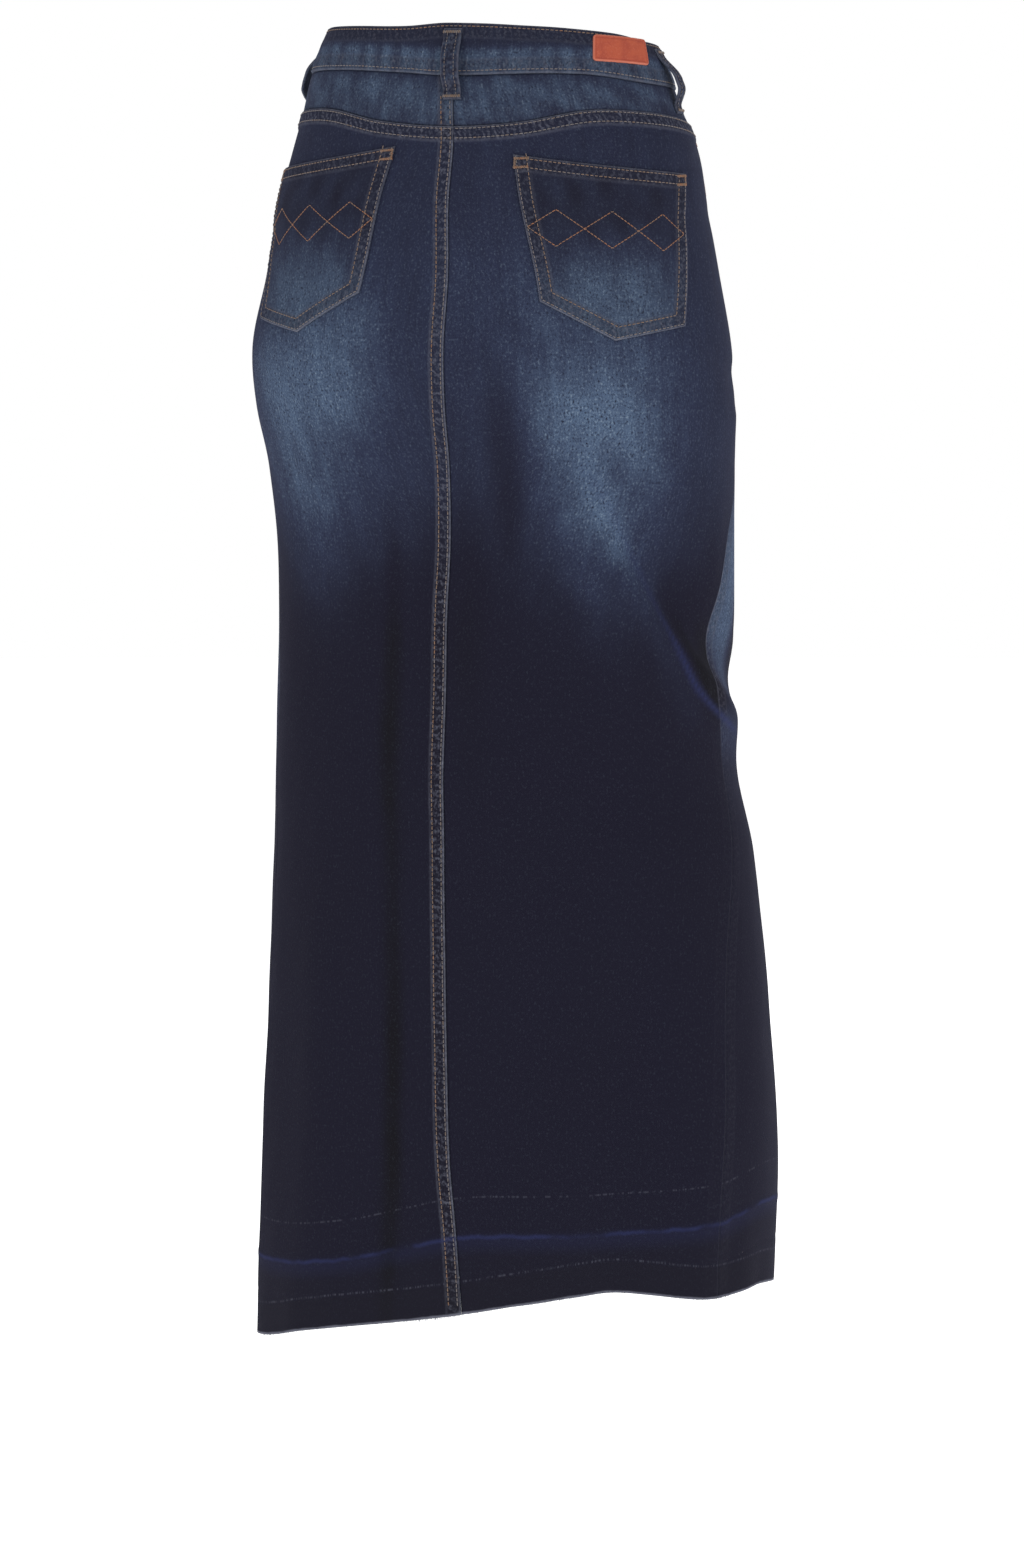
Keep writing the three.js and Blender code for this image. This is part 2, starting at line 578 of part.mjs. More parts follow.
// Zip tape behind the fly, and its slider, closed at the top
function zip() {
  const strip = (columns, rows, half, from, to) => (i, j) => {
    const drop = mix(from, to, j / rows);
    return { angle: walk(CENTRE_FRONT, drop, mix(-half, half, i / columns)), drop };
  };
  const tapeFace = -CLOTH - SEAM_GAP;
  const tapeBack = tapeFace - ZIP.thickness;
  const from = bandEdge(CENTRE_FRONT) + 2;
  const tape = wall(4, 10, strip(4, 10, ZIP.halfWidth, from, ZIP.end), constant(tapeFace), constant(tapeBack));
  add('fly_zip', tape, TAPE);
  const face = tapeBack - SEAM_GAP;
  const body = strip(2, 3, SLIDER.halfWidth, SLIDER.drop, SLIDER.drop + SLIDER.height);
  add('zip_slider', wall(2, 3, body, constant(face), constant(face - SLIDER.thickness)), METAL);
}

// Shank button: a turned disc with a rolled rim on the lifted end of the waistband
function shankButton() {
  const { radius: r, height: h, angle, drop } = BUTTON;
  const profile = [
    [0, 0], [r - 2.5, 0], [r - 2.5, h - 2.1], [r - 0.5, h - 1.8], [r, h - 1],
    [r - 0.7, h - 0.2], [r - 1.9, h], [r - 3, h - 0.6], [0, h - 0.3],
  ].map(([x, y]) => new THREE.Vector2(x, y));
  const geometry = new THREE.LatheGeometry(profile, 24);
  const mesh = add('shank_button', geometry, METAL);
  const out = outward(angle, drop);
  const seat = WAISTBAND_FACE + OVERLAP.lift + SEAM_GAP;
  mesh.position.copy(place(angle, drop).addScaledVector(out, seat));
  mesh.quaternion.setFromUnitVectors(new THREE.Vector3(0, 1, 0), out);
}

for (const side of ['right', 'left']) {
  backPanel(side);
  backYoke(side);
  backPocket(side);
  frontPanel(side);
  pocketFacing(side);
}
waistband();
for (const loop of LOOPS) beltLoop(loop);
waistPatch();
zip();
shankButton();

export default skirt;
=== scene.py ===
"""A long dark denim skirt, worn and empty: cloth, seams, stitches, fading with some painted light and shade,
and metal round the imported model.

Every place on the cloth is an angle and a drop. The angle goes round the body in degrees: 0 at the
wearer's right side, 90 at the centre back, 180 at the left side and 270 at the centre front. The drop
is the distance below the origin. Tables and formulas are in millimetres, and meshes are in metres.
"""
import logging
import math
from dataclasses import dataclass, field
from enum import Enum
from typing import Optional, Union

import bmesh
import bpy
import numpy as np
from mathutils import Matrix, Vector


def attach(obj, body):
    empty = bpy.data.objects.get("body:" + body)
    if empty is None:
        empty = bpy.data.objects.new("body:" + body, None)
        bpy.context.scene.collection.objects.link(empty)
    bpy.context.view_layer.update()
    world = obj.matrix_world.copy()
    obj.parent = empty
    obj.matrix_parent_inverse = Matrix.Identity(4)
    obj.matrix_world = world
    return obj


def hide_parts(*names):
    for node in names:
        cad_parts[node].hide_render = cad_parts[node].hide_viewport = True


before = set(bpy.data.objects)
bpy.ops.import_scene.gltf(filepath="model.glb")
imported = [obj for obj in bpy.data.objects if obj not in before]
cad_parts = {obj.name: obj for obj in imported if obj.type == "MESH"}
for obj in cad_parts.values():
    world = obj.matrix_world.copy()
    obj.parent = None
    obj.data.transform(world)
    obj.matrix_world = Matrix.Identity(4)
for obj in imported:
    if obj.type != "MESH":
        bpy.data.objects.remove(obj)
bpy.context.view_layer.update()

log = logging.getLogger("denim_skirt")
Array = np.ndarray
Number = Union[float, Array]
MM = 0.001
DEGREE = math.pi / 180
TURN = 360

# Thickness of each kind of piece and the gap that parts two pieces at a seam, as in the model
SEAM_GAP = 0.3
CLOTH = 1.5
WAISTBAND_THICKNESS = 3.0
WAISTBAND_FACE = 1.6
POCKET_THICKNESS = 1.7
PATCH_THICKNESS = 1.4
LOOP_THICKNESS = 2.2

# Sections of the tube: drop, half width, depth to the back and to the front, shift to the left
SECTION_SHAPE = 2.15
SECTION_COLUMNS = ("drop", "half_width", "back", "front", "shift")
SECTIONS = (
    (-20, 117, 85, 83, 5),
    (16, 133, 91, 88, 4),
    (42, 141, 98, 93, 2),
    (70, 151, 104, 98, 0),
    (110, 160, 110, 103, 2),
    (160, 169, 115, 107, 2),
    (210, 179, 119, 109, 3),
    (255, 179, 119, 110, 0),
    (300, 174, 117, 111, -5),
    (370, 170, 115, 114, -8),
    (450, 171, 118, 119, -8),
    (520, 172, 122, 123, -8),
    (580, 179, 126, 127, -14),
    (700, 186, 131, 134, -19),
    (800, 191, 134, 139, -20),
    (950, 191, 136, 145, -15),
)

# Angle of each long seam on its way down
SEAM_COLUMNS = ("drop", "right", "back", "left")
SEAMS = (
    (-20, -10, 87.5, 190),
    (100, -10, 87.3, 190),
    (180, -10, 86.5, 190),
    (290, -10, 89, 180),
    (350, 0, 90.5, 171),
    (400, 6, 92, 167),
    (450, 10, 92, 163),
    (500, 7, 92, 162),
    (535, 5, 92.5, 161),
    (580, 9, 94, 160),
    (640, 15, 94.5, 160),
    (710, 19, 94.5, 160),
    (790, 21.5, 93.5, 160),
    (850, 22.5, 90.5, 160),
    (950, 22, 86, 160),
)
CENTRE_FRONT = 270

# Edges that run round the body, each a row of angle and drop
EDGE_COLUMNS = ("angle", "drop")
TOP_EDGE = (
    (-90, -3), (-50, -3), (-19, -3.5), (5, -5), (21, -9.5), (48, -13.5),
    (90, -17), (112, -15.5), (161, -18.5), (200, -14), (235, -7), (270, -3),
)
BAND_EDGE = (
    (-90, 31), (-50, 30), (-19, 28), (15, 25), (37, 20), (90, 20.5),
    (112, 17.5), (150, 13), (180, 14), (215, 22), (250, 29), (270, 31),
)
YOKE_SEAM = (
    (-12, 54), (0, 50), (19, 46.5), (37, 46), (61, 54.5), (90, 57),
    (119, 52), (142, 42), (161, 41), (180, 45), (192, 48),
)
HEM_EDGE = (
    (-90, 905), (-50, 902), (-19, 897), (5, 889), (24, 892), (45, 885.5), (66, 893), (90, 904),
    (125, 918.5), (139, 926), (157, 937), (172, 936), (190, 929), (225, 914), (270, 905),
)
# The old fold line of the let-down hem, and the crest of the fold behind the wearer's right thigh
CREASE_EDGE = (
    (-90, 846), (-50, 842), (-19, 835), (5, 829), (22, 838), (45, 843), (66, 845), (90, 848),
    (110, 859), (125, 869), (150, 879), (172, 876), (190, 869), (225, 855), (270, 846),
)
CREST_EDGE = ((-14, 497), (2, 486), (17, 458), (24, 421), (30, 379), (37, 339), (46, 302), (58, 270))

# Folds of the model, each a soft ridge or trough along a line: angle and drop where it starts, the
# same where it ends, its rise, its reach above and below, and how far it bows sideways
FOLDS = (
    (-24, 503, 52, 312, 5.5, 11, 46, 32),
    (-31, 477, 44, 287, -7, 24, 24, 32),
    (26, 560, 27, 1080, 4, 20, 20, 0),
    (44, 620, 46, 1080, -5, 20, 22, 0),
    (108, 430, 112, 1080, -3, 26, 22, 0),
    (136, 560, 138, 1080, 3, 26, 24, 0),
    (-24, 330, -20, 465, 4, 18, 16, 0),
    (-26, 500, -6, 520, -5, 14, 14, 0),
    (-62, 520, -60, 1080, 6, 26, 30, 0),
    (-91, 470, -89, 1080, -6, 30, 30, 0),
    (236, 480, 238, 1080, 6, 28, 26, 0),
    (206, 540, 207, 1080, -4, 22, 22, 0),
    (-70, 150, -30, 120, -2, 10, 16, 6),
    (205, 120, 250, 150, -2, 10, 16, 6),
    (215, 380, 262, 470, 3, 14, 26, 10),
)
FOLD_FADE = 0.3
FOLD_ARC = 2.9

# Finer creases that are in the cloth alone, uneven in length, depth and spacing
CREASES = (
    (-12, 62, 17, 90, -1.1, 4, 9, 4),
    (-16, 118, 22, 128, -0.9, 6, 11, -5),
    (-20, 232, 14, 214, -1.6, 7, 12, 6),
    (-16, 262, 26, 250, 1.2, 6, 14, 5),
    (-12, 300, 30, 268, -1.0, 8, 14, 8),
    (40, 330, 78, 352, -0.7, 12, 16, 10),
    (22, 395, 66, 372, 0.8, 10, 18, -8),
    (52, 468, 84, 500, 0.7, 10, 20, 16),
    (34, 520, 70, 640, -0.9, 16, 20, -10),
    (60, 560, 66, 860, 0.8, 20, 26, 6),
    (80, 600, 79, 900, -0.6, 14, 18, 4),
    (100, 300, 132, 352, -0.7, 12, 16, -8),
    (104, 392, 150, 420, 0.9, 10, 22, 10),
    (124, 470, 160, 520, -0.8, 12, 20, 8),
    (120, 620, 124, 880, -0.7, 16, 20, -5),
    (150, 600, 150, 900, -0.9, 18, 20, 4),
    (168, 210, 190, 236, -1.2, 8, 12, -6),
    (150, 128, 186, 120, -0.8, 6, 12, 5),
    (-58, 205, -14, 238, -1.5, 8, 14, 6),
    (-72, 262, -20, 268, 1.2, 8, 16, -8),
    (-84, 330, -40, 372, -1.3, 10, 16, 10),
    (-80, 420, -30, 450, 1.2, 12, 20, -12),
    (-48, 560, -44, 900, -1.2, 18, 22, 5),
    (-78, 600, -76, 880, 1.0, 14, 20, -4),
    (196, 252, 248, 214, -1.4, 8, 14, -6),
    (200, 300, 258, 296, 1.1, 8, 16, 8),
    (204, 352, 262, 330, -1.2, 10, 16, -8),
    (222, 560, 224, 900, -1.3, 16, 22, -5),
    (252, 520, 254, 880, 1.1, 16, 20, 4),
    (64, 24, 100, 33, -0.5, 3, 5, 2),
    (-60, 70, -34, 92, -0.8, 5, 9, -3),
    (214, 90, 244, 72, -0.8, 5, 9, 3),
)

# Fullness of the seat, the ridge that each side seam makes, felled seams and the fly
SEAT_ANGLES = (60, 120)
SEAT_DROP = 215
SEAT_RISE = 4
SEAT_WIDE = 26
SEAT_TALL = 80
SIDE_RIDGE_RISE = 6
SIDE_RIDGE_REACH = 45
SIDE_RIDGE_FROM = 520
SIDE_RIDGE_OVER = 250
FELL_WIDTH = 10
FELL_RISE = 1.1
FELL_FADE = 3
FLY_WIDTH = 38
FLY_END = 178
FLY_RISE = 1.2
FLY_FADE = 4
SHARED_TOP = 100
NOMINAL_HEM = 905

ANGLE_STEP = 1
DROP_STEP = 2
WALK_STEPS = 12


def smooth(x: Number) -> Number:
    """Soft step from 0 to 1: three times the square of x less twice its cube, x held between 0 and 1."""
    t = np.clip(x, 0, 1)
    return t * t * (3 - 2 * t)


def bump(x: Number) -> Number:
    """Bell of height 1 round 0: e to the power of minus x squared."""
    return np.exp(-np.square(x))


def turn(angle: Number) -> Number:
    """Difference of two angles, brought between -180 and 180."""
    return (angle + TURN / 2) % TURN - TURN / 2


def mix(a: Number, b: Number, t: Number) -> Number:
    """The way from a to b, t of it gone."""
    return a + (b - a) * t


def noise(seed: int, reach: float, *coordinates: Number) -> Number:
    """Soft seeded unevenness between about -1 and 1.

    It is the mean of six sine waves of unlike directions and lengths round one reach.

    Args:
        seed: Which pattern.
        reach: Length of its waves, in the coordinates' unit.
        coordinates: One or more coordinates.

    Returns:
        One value for each place.
    """
    rng = np.random.default_rng(seed)
    total = 0.0
    waves = 6
    for _ in range(waves):
        direction = rng.normal(size=len(coordinates))
        direction /= np.linalg.norm(direction)
        scale = 2 * math.pi / reach * rng.uniform(0.6, 1.7)
        phase = rng.uniform(0, 2 * math.pi)
        along = sum(d * c for d, c in zip(direction, coordinates))
        total = total + np.sin(along * scale + phase)
    return total / waves * 1.6


class Curve:
    """Smooth curve through one column of a table: a cubic between rows, whose slope at each row is
    that of the line through its two neighbours."""

    def __init__(self, rows: tuple, columns: tuple, at: str, key: str) -> None:
        """Keeps the two columns that the curve needs.

        Args:
            rows: The table.
            columns: Names of its columns.
            at: Column that the curve is read by.
            key: Column that it gives.
        """
        table = np.array(rows, dtype=float)
        self.at = table[:, columns.index(at)]
        self.key = table[:, columns.index(key)]
        before = np.r_[0, np.arange(len(rows) - 1)]
        after = np.r_[np.arange(1, len(rows)), len(rows) - 1]
        self.slope = (self.key[after] - self.key[before]) / (self.at[after] - self.at[before])

    def __call__(self, value: Number) -> Number:
        """The curve at a value, held between the first row and the last."""
        x = np.clip(value, self.at[0], self.at[-1])
        i = np.clip(np.searchsorted(self.at, x, side="right") - 1, 0, len(self.at) - 2)
        span = self.at[i + 1] - self.at[i]
        t = (x - self.at[i]) / span
        t2 = t * t
        t3 = t2 * t
        start = (2 * t3 - 3 * t2 + 1) * self.key[i] + (t3 - 2 * t2 + t) * span * self.slope[i]
        return start + (3 * t2 - 2 * t3) * self.key[i + 1] + (t3 - t2) * span * self.slope[i + 1]


half_width_at, back_at, front_at, shift_at = (
    Curve(SECTIONS, SECTION_COLUMNS, "drop", key) for key in SECTION_COLUMNS[1:]
)
seam_right, seam_back, seam_left = (Curve(SEAMS, SEAM_COLUMNS, "drop", key) for key in SEAM_COLUMNS[1:])
top_edge, band_edge, yoke_seam, hem_edge, crease_edge, crest_edge = (
    Curve(rows, EDGE_COLUMNS, "angle", "drop")
    for rows in (TOP_EDGE, BAND_EDGE, YOKE_SEAM, HEM_EDGE, CREASE_EDGE, CREST_EDGE)
)


def wrapped(angle: Number) -> Number:
    """Angle brought between -90 and 270, where the tables of edges hold."""
    return (np.asarray(angle) + 90) % TURN - 90


def fold_rise(rows: tuple, angle: Number, drop: Number) -> Number:
    """Height of a table's folds at places on the cloth.

    Each fold is a bell across its line, wider or narrower on each side, and it fades at both ends.
    The line bows sideways by a parabola.
    """
    total = np.zeros(np.broadcast(angle, drop).shape)
    for from_angle, from_drop, to_angle, to_drop, rise, above, below, bow in rows:
        middle = (from_angle + to_angle) / 2
        x = (turn(angle - middle) - (from_angle - middle)) * FOLD_ARC
        y = drop - from_drop
        dx = (to_angle - from_angle) * FOLD_ARC
        dy = to_drop - from_drop
        length = math.hypot(dx, dy)
        along = (x * dx + y * dy) / length**2
        across = (y * dx - x * dy) / length - bow * 4 * along * (1 - along)
        width = np.where(across < 0, above, below)
        fade = smooth(along / FOLD_FADE) * smooth((1 - along) / FOLD_FADE)
        total += rise * bump(across / width) * fade
    return total


def radius(angle: Number, drop: Number) -> Number:
    """Distance of the cloth from its section's middle.

    It is a rounded oval whose half sizes change with the drop, with the seat's fullness, a ridge at
    each side seam low down, and the folds.
    """
    c = np.cos(angle * DEGREE)
    s = np.sin(angle * DEGREE)
    depth = np.where(s > 0, back_at(drop), front_at(drop))
    oval = np.abs(c / half_width_at(drop)) ** SECTION_SHAPE + np.abs(s / depth) ** SECTION_SHAPE
    r = oval ** (-1 / SECTION_SHAPE)
    for at in SEAT_ANGLES:
        wide = turn(angle - at) / SEAT_WIDE
        tall = (drop - SEAT_DROP) / SEAT_TALL
        r = r + SEAT_RISE * np.exp(-wide * wide - tall * tall)
    low = smooth((drop - SIDE_RIDGE_FROM) / SIDE_RIDGE_OVER)
    for seam in (seam_right(drop), seam_left(drop)):
        away = np.abs(turn(angle - seam)) * DEGREE * r
        r = r + low * SIDE_RIDGE_RISE * np.exp(-away / SIDE_RIDGE_REACH)
    return r + fold_rise(FOLDS, angle, drop)


def place(angle: Number, drop: Number) -> Array:
    """Points on the cloth's face, in millimetres."""
    r = radius(angle, drop)
    x = shift_at(drop) - r * np.cos(angle * DEGREE)
    y = r * np.sin(angle * DEGREE)
    return np.stack(np.broadcast_arrays(x, y, -np.asarray(drop, dtype=float)), axis=-1)


def unit(vectors: Array) -> Array:
    """Vectors brought to length 1."""
    return vectors / np.maximum(np.linalg.norm(vectors, axis=-1, keepdims=True), 1e-9)


def outward(angle: Number, drop: Number) -> Array:
    """Outward directions of the cloth's face: the way round, crossed with the way down."""
    around = place(angle + ANGLE_STEP, drop) - place(angle - ANGLE_STEP, drop)
    down = place(angle, drop + DROP_STEP) - place(angle, drop - DROP_STEP)
    return unit(np.cross(around, down))


def walk(start: Number, drop: Number, distance: Number) -> Number:
    """Angle reached by walking a distance round the body at one drop, in equal steps."""
    angle = np.zeros(np.broadcast(start, drop, distance).shape) + start
    step = distance / WALK_STEPS
    for _ in range(WALK_STEPS):
        half = step / radius(angle, drop) / DEGREE / 2
        ahead = place(angle + half + ANGLE_STEP, drop)
        behind = place(angle + half - ANGLE_STEP, drop)
        angle = angle + step * 2 * ANGLE_STEP / np.linalg.norm(ahead - behind, axis=-1)
    return angle


def beside(seam: Number, drop: Number, side: int) -> Number:
    """Angle of a seam, moved aside by half of the gap."""
    return seam + (side * SEAM_GAP / 2) / radius(seam, drop) / DEGREE


def fell_rise(distance: Number) -> Number:
    """Rise of the doubled strip on the upper side of a felled seam."""
    return FELL_RISE * smooth((FELL_WIDTH + FELL_FADE - distance) / FELL_FADE)


def drape(angle: Number, drop: Number) -> Number:
    """Height of the finer creases and of the cloth's broad unevenness."""
    x = angle * FOLD_ARC
    loose = smooth((drop - 60) / 200)
    broad = noise(11, 95, x, drop * 0.6) * 0.45 * loose
    small = noise(12, 30, x, drop * 0.5) * 0.16 * loose
    return fold_rise(CREASES, angle, drop) + broad + small


class Side(Enum):
    """Wearer's side of a piece, with the way out from the centre back."""

    RIGHT = -1
    LEFT = 1

    @property
    def word(self) -> str:
        """The side's name in the names of pieces."""
        return self.name.lower()

    @property
    def seam(self) -> Curve:
        """The side seam on this side."""
        return seam_left if self is Side.LEFT else seam_right


ROPE_PERIOD = 6.8
ROPE_SLANT = 0.3
ROPE_RISE = 0.17


@dataclass
class Edge:
    """Distance from a sewn edge, distance along it, and how strongly it is worn, all per vertex."""

    away: Array
    along: Array
    strength: Array

    @staticmethod
    def none(shape: tuple) -> "Edge":
        """An edge too far away to show."""
        return Edge(np.full(shape, 99.0), np.zeros(shape), np.zeros(shape))

    def rope(self, width: float, rise: float) -> Array:
        """Puckers between the two rows of a seam: slanting waves that die out at both rows."""
        inside = smooth(self.away / 2) * smooth((width - self.away) / 2)
        phase = 2.6 * noise(31, 34, self.along) + 1.2 * noise(32, 9, self.along)
        wave = np.sin(2 * math.pi * (self.along + ROPE_SLANT * self.away) / ROPE_PERIOD + phase)
        dip = bump((self.away - 1.7) / 0.8) + bump((self.away - width + 1.4) / 0.8)
        return self.strength * (rise * inside * wave - 0.22 * dip)

    def values(self) -> Array:
        """The three numbers side by side."""
        return np.stack(np.broadcast_arrays(self.away, self.along, self.strength), axis=-1)


@dataclass
class Grid:
    """A piece of cloth on its grid of places, rows going down and columns round the body.

    top and base are the heights of its two faces over the form, its paleness comes from fading and in places
    from painted highlight and shade, and side_edge and level_edge are its sewn edges that run down and round,
    and low holds the marks of a panel's lower part.
    """

    name: str
    angle: Array
    drop: Array
    top: Array
    base: Array
    fade_and_painted_light: Array
    side_edge: Optional[Edge] = None
    level_edge: Optional[Edge] = None
    low: Optional[Array] = None
    edge_sink: float = 0.35

    def build(self) -> bpy.types.Object:
        """Makes the closed wall: the outer face, the inner face, and a rounded rim that joins them.

        Returns:
            The object, with its marks as attributes and a map of the cloth in metres.
        """
        shape = self.angle.shape
        rows, columns = shape
        face = place(self.angle, self.drop)
        out = outward(self.angle, self.drop)
        top = np.broadcast_to(self.top, shape).copy()
        for border in (top[0], top[-1], top[:, 0], top[:, -1]):
            border -= self.edge_sink
        outer = face + out * top[..., None]
        inner = face + out * np.broadcast_to(self.base, shape)[..., None]
        index = np.arange(rows * columns).reshape(shape)
        ring = np.concatenate([index[0, :-1], index[:-1, -1], index[-1, :0:-1], index[:0:-1, 0]])
        flat_outer, flat_inner = outer.reshape(-1, 3), inner.reshape(-1, 3)
        count = rows * columns
        middle = (flat_outer[ring] + flat_inner[ring]) / 2
        points = np.concatenate([flat_outer, flat_inner, middle]) * MM
        a, b, c, d = index[:-1, :-1], index[:-1, 1:], index[1:, 1:], index[1:, :-1]
        front = np.stack([a, b, c, d], axis=-1).reshape(-1, 4)
        back = np.stack([a, d, c, b], axis=-1).reshape(-1, 4) + count
        rim = 2 * count + np.arange(len(ring))
        after, rim_after = np.roll(ring, -1), np.roll(rim, -1)
        upper = np.stack([after, ring, rim, rim_after], axis=-1)
        lower = np.stack([rim_after, rim, ring + count, after + count], axis=-1)
        faces = np.concatenate([front, back, upper, lower])
        obj = make_mesh(self.name, points, faces)
        take = np.concatenate([np.arange(count), np.arange(count), ring])
        self.mark(obj, take, count)
        return obj

    def mark(self, obj: bpy.types.Object, take: Array, count: int) -> None:
        """Writes the piece's marks.

        Args:
            obj: The object.
            take: Grid place of each vertex.
            count: Number of places on the grid.
        """
        shape = self.angle.shape
        far = Edge.none(shape)
        inside = np.zeros(len(take))
        inside[count : 2 * count] = 1
        inside[2 * count :] = 0.35
        low = np.tile([999.0, 999.0, 0.0], (*shape, 1)) if self.low is None else self.low
        add_attribute(obj, "inside", inside)
        add_attribute(obj, "fade_and_painted_light", np.broadcast_to(self.fade_and_painted_light, shape).reshape(-1)[take])
        add_attribute(obj, "low", low.reshape(-1, 3)[take])
        add_attribute(obj, "side_edge", (self.side_edge or far).values().reshape(-1, 3)[take])
        add_attribute(obj, "level_edge", (self.level_edge or far).values().reshape(-1, 3)[take])
        across = np.cumsum(np.linalg.norm(np.diff(place(self.angle, self.drop), axis=1), axis=2), axis=1)
        across = np.concatenate([np.zeros((shape[0], 1)), across], axis=1)
        across -= across[:, shape[1] // 2, None]
        across += (self.angle.mean() - 90) * FOLD_ARC
        cloth = np.stack([across, -self.drop], axis=-1).reshape(-1, 2)[take] * MM
        add_map(obj, cloth)


def add_object(name: str, data: bpy.types.ID) -> bpy.types.Object:
    """Adds an object with its data to the scene."""
    obj = bpy.data.objects.new(name, data)
    bpy.context.scene.collection.objects.link(obj)
    return obj


def make_mesh(name: str, points: Array, faces: Array, smooth_faces: bool = True) -> bpy.types.Object:
    """Makes an object at the origin from arrays of points, in metres, and of faces of one size."""
    mesh = bpy.data.meshes.new(name)
    sides = faces.shape[1]
    mesh.vertices.add(len(points))
    mesh.vertices.foreach_set("co", np.ascontiguousarray(points, dtype=np.float32).reshape(-1))
    mesh.loops.add(faces.size)
    mesh.loops.foreach_set("vertex_index", np.ascontiguousarray(faces, dtype=np.int32).reshape(-1))
    mesh.polygons.add(len(faces))
    mesh.polygons.foreach_set("loop_start", np.arange(len(faces), dtype=np.int32) * sides)
    mesh.polygons.foreach_set("use_smooth", np.full(len(faces), smooth_faces))
    mesh.update(calc_edges=True)
    mesh.validate()
    return add_object(name, mesh)


def add_attribute(obj: bpy.types.Object, name: str, values: Array) -> None:
    """Adds a number or a vector for each vertex of an object."""
    kind, key = ("FLOAT", "value") if values.ndim == 1 else ("FLOAT_VECTOR", "vector")
    attribute = obj.data.attributes.new(name, kind, "POINT")
    attribute.data.foreach_set(key, np.ascontiguousarray(values, dtype=np.float32).reshape(-1))


def add_map(obj: bpy.types.Object, cloth: Array) -> None:
    """Adds the map of the cloth, in metres along the weft and the warp, from a value for each vertex."""
    mesh = obj.data
    layer = mesh.uv_layers.new(name="cloth")
    corners = np.empty(len(mesh.loops), dtype=np.int32)
    mesh.loops.foreach_get("vertex_index", corners)
    layer.data.foreach_set("uv", np.ascontiguousarray(cloth[corners], dtype=np.float32).reshape(-1))


def steps(length: float, fine: float, coarse: float, reach: float) -> Array:
    """Distances from 0 to a length: fine steps within reach of both ends, and coarse ones between."""
    ends = np.arange(0, reach, fine)
    middle = np.linspace(reach, length - reach, max(2, round((length - 2 * reach) / coarse) + 1))
    return np.concatenate([ends, middle, length - ends[::-1]])


# Faded places and painted shade: angle, drop, reach round and down in millimetres, and strength. A minus is
# darker.
FADES_AND_PAINTED_SHADE = (
    (146, 258, 56, 88, 0.56),
    (122, 218, 36, 60, 0.32),
    (118, 250, 96, 130, 0.20),
    (139, 372, 42, 52, 0.12),
    (44, 282, 38, 70, 0.40),
    (56, 214, 42, 66, 0.10),
    (30, 262, 34, 66, 0.18),
    (48, 262, 108, 142, 0.28),
    (37, 366, 36, 56, 0.16),
    (69, 290, 20, 62, -0.32),
    (84, 300, 24, 170, -0.12),
    (98, 300, 22, 130, -0.08),
    (84, 176, 34, 54, 0.14),
    # Painted shade: the next two rows darken the cloth along the trough of the fold at 108 to 112 degrees.
    (112, 460, 11, 110, -0.20),
    (113, 760, 9, 190, -0.24),
    # Painted shade in the recess between the crest of the big fold and the right side seam.
    (10, 450, 14, 34, -0.34),
    (89.4, 46, 3.6, 9, 0.75),
    (-62, 300, 46, 110, 0.50),
    (-60, 250, 100, 160, 0.30),
    (242, 300, 46, 110, 0.50),
    (240, 250, 100, 160, 0.30),
    (216, 380, 16, 150, 0.30),
)


def from_crest(angle: Number, drop: Number) -> Number:
    """Distance across the crest of the fold behind the right thigh, less than 0 above it."""
    slope = (crest_edge(angle + ANGLE_STEP) - crest_edge(angle - ANGLE_STEP)) / (2 * ANGLE_STEP * FOLD_ARC)
    return (drop - crest_edge(angle)) / np.hypot(1, slope)


def crest_fade(angle: Number) -> Number:
    """1 along the middle of that crest and 0 past its ends."""
    return smooth((angle + 8) / 12) * smooth((54 - angle) / 16)


def fade_and_painted_light_at(angle: Number, drop: Number) -> Number:
    """How pale the cloth is: faded soft ovals of the table, some of them painted shade, added up, with uneven
    borders, over a base that is paler high up and darker towards the bottom.

    The crest of the big fold adds a painted highlight below it and painted shade above it.
    """
    total = np.zeros(np.broadcast(angle, drop).shape)
    x, y = angle * FOLD_ARC, drop * 0.7
    uneven = noise(21, 70, x, y) * 0.16 + noise(22, 26, x, y) * 0.10
    for at, level, wide, tall, strength in FADES_AND_PAINTED_SHADE:
        x = turn(angle - at) * FOLD_ARC / wide
        y = (drop - level) / tall
        total += strength * np.exp(-np.power(x * x + y * y, 1.2)) * (1 + uneven)
    away = from_crest(angle, drop)
    # Painted highlight below the crest of the big fold and painted shade above it.
    crest_highlight_and_shade = 0.12 * bump((away - 9) / 13) - 0.24 * bump((away + 14) / 9) * smooth((drop - 380) / 60)
    ground = 0.23 * smooth((415 - drop) / 130)
    return ground + (1 - ground) * total + crest_highlight_and_shade * crest_fade(angle)


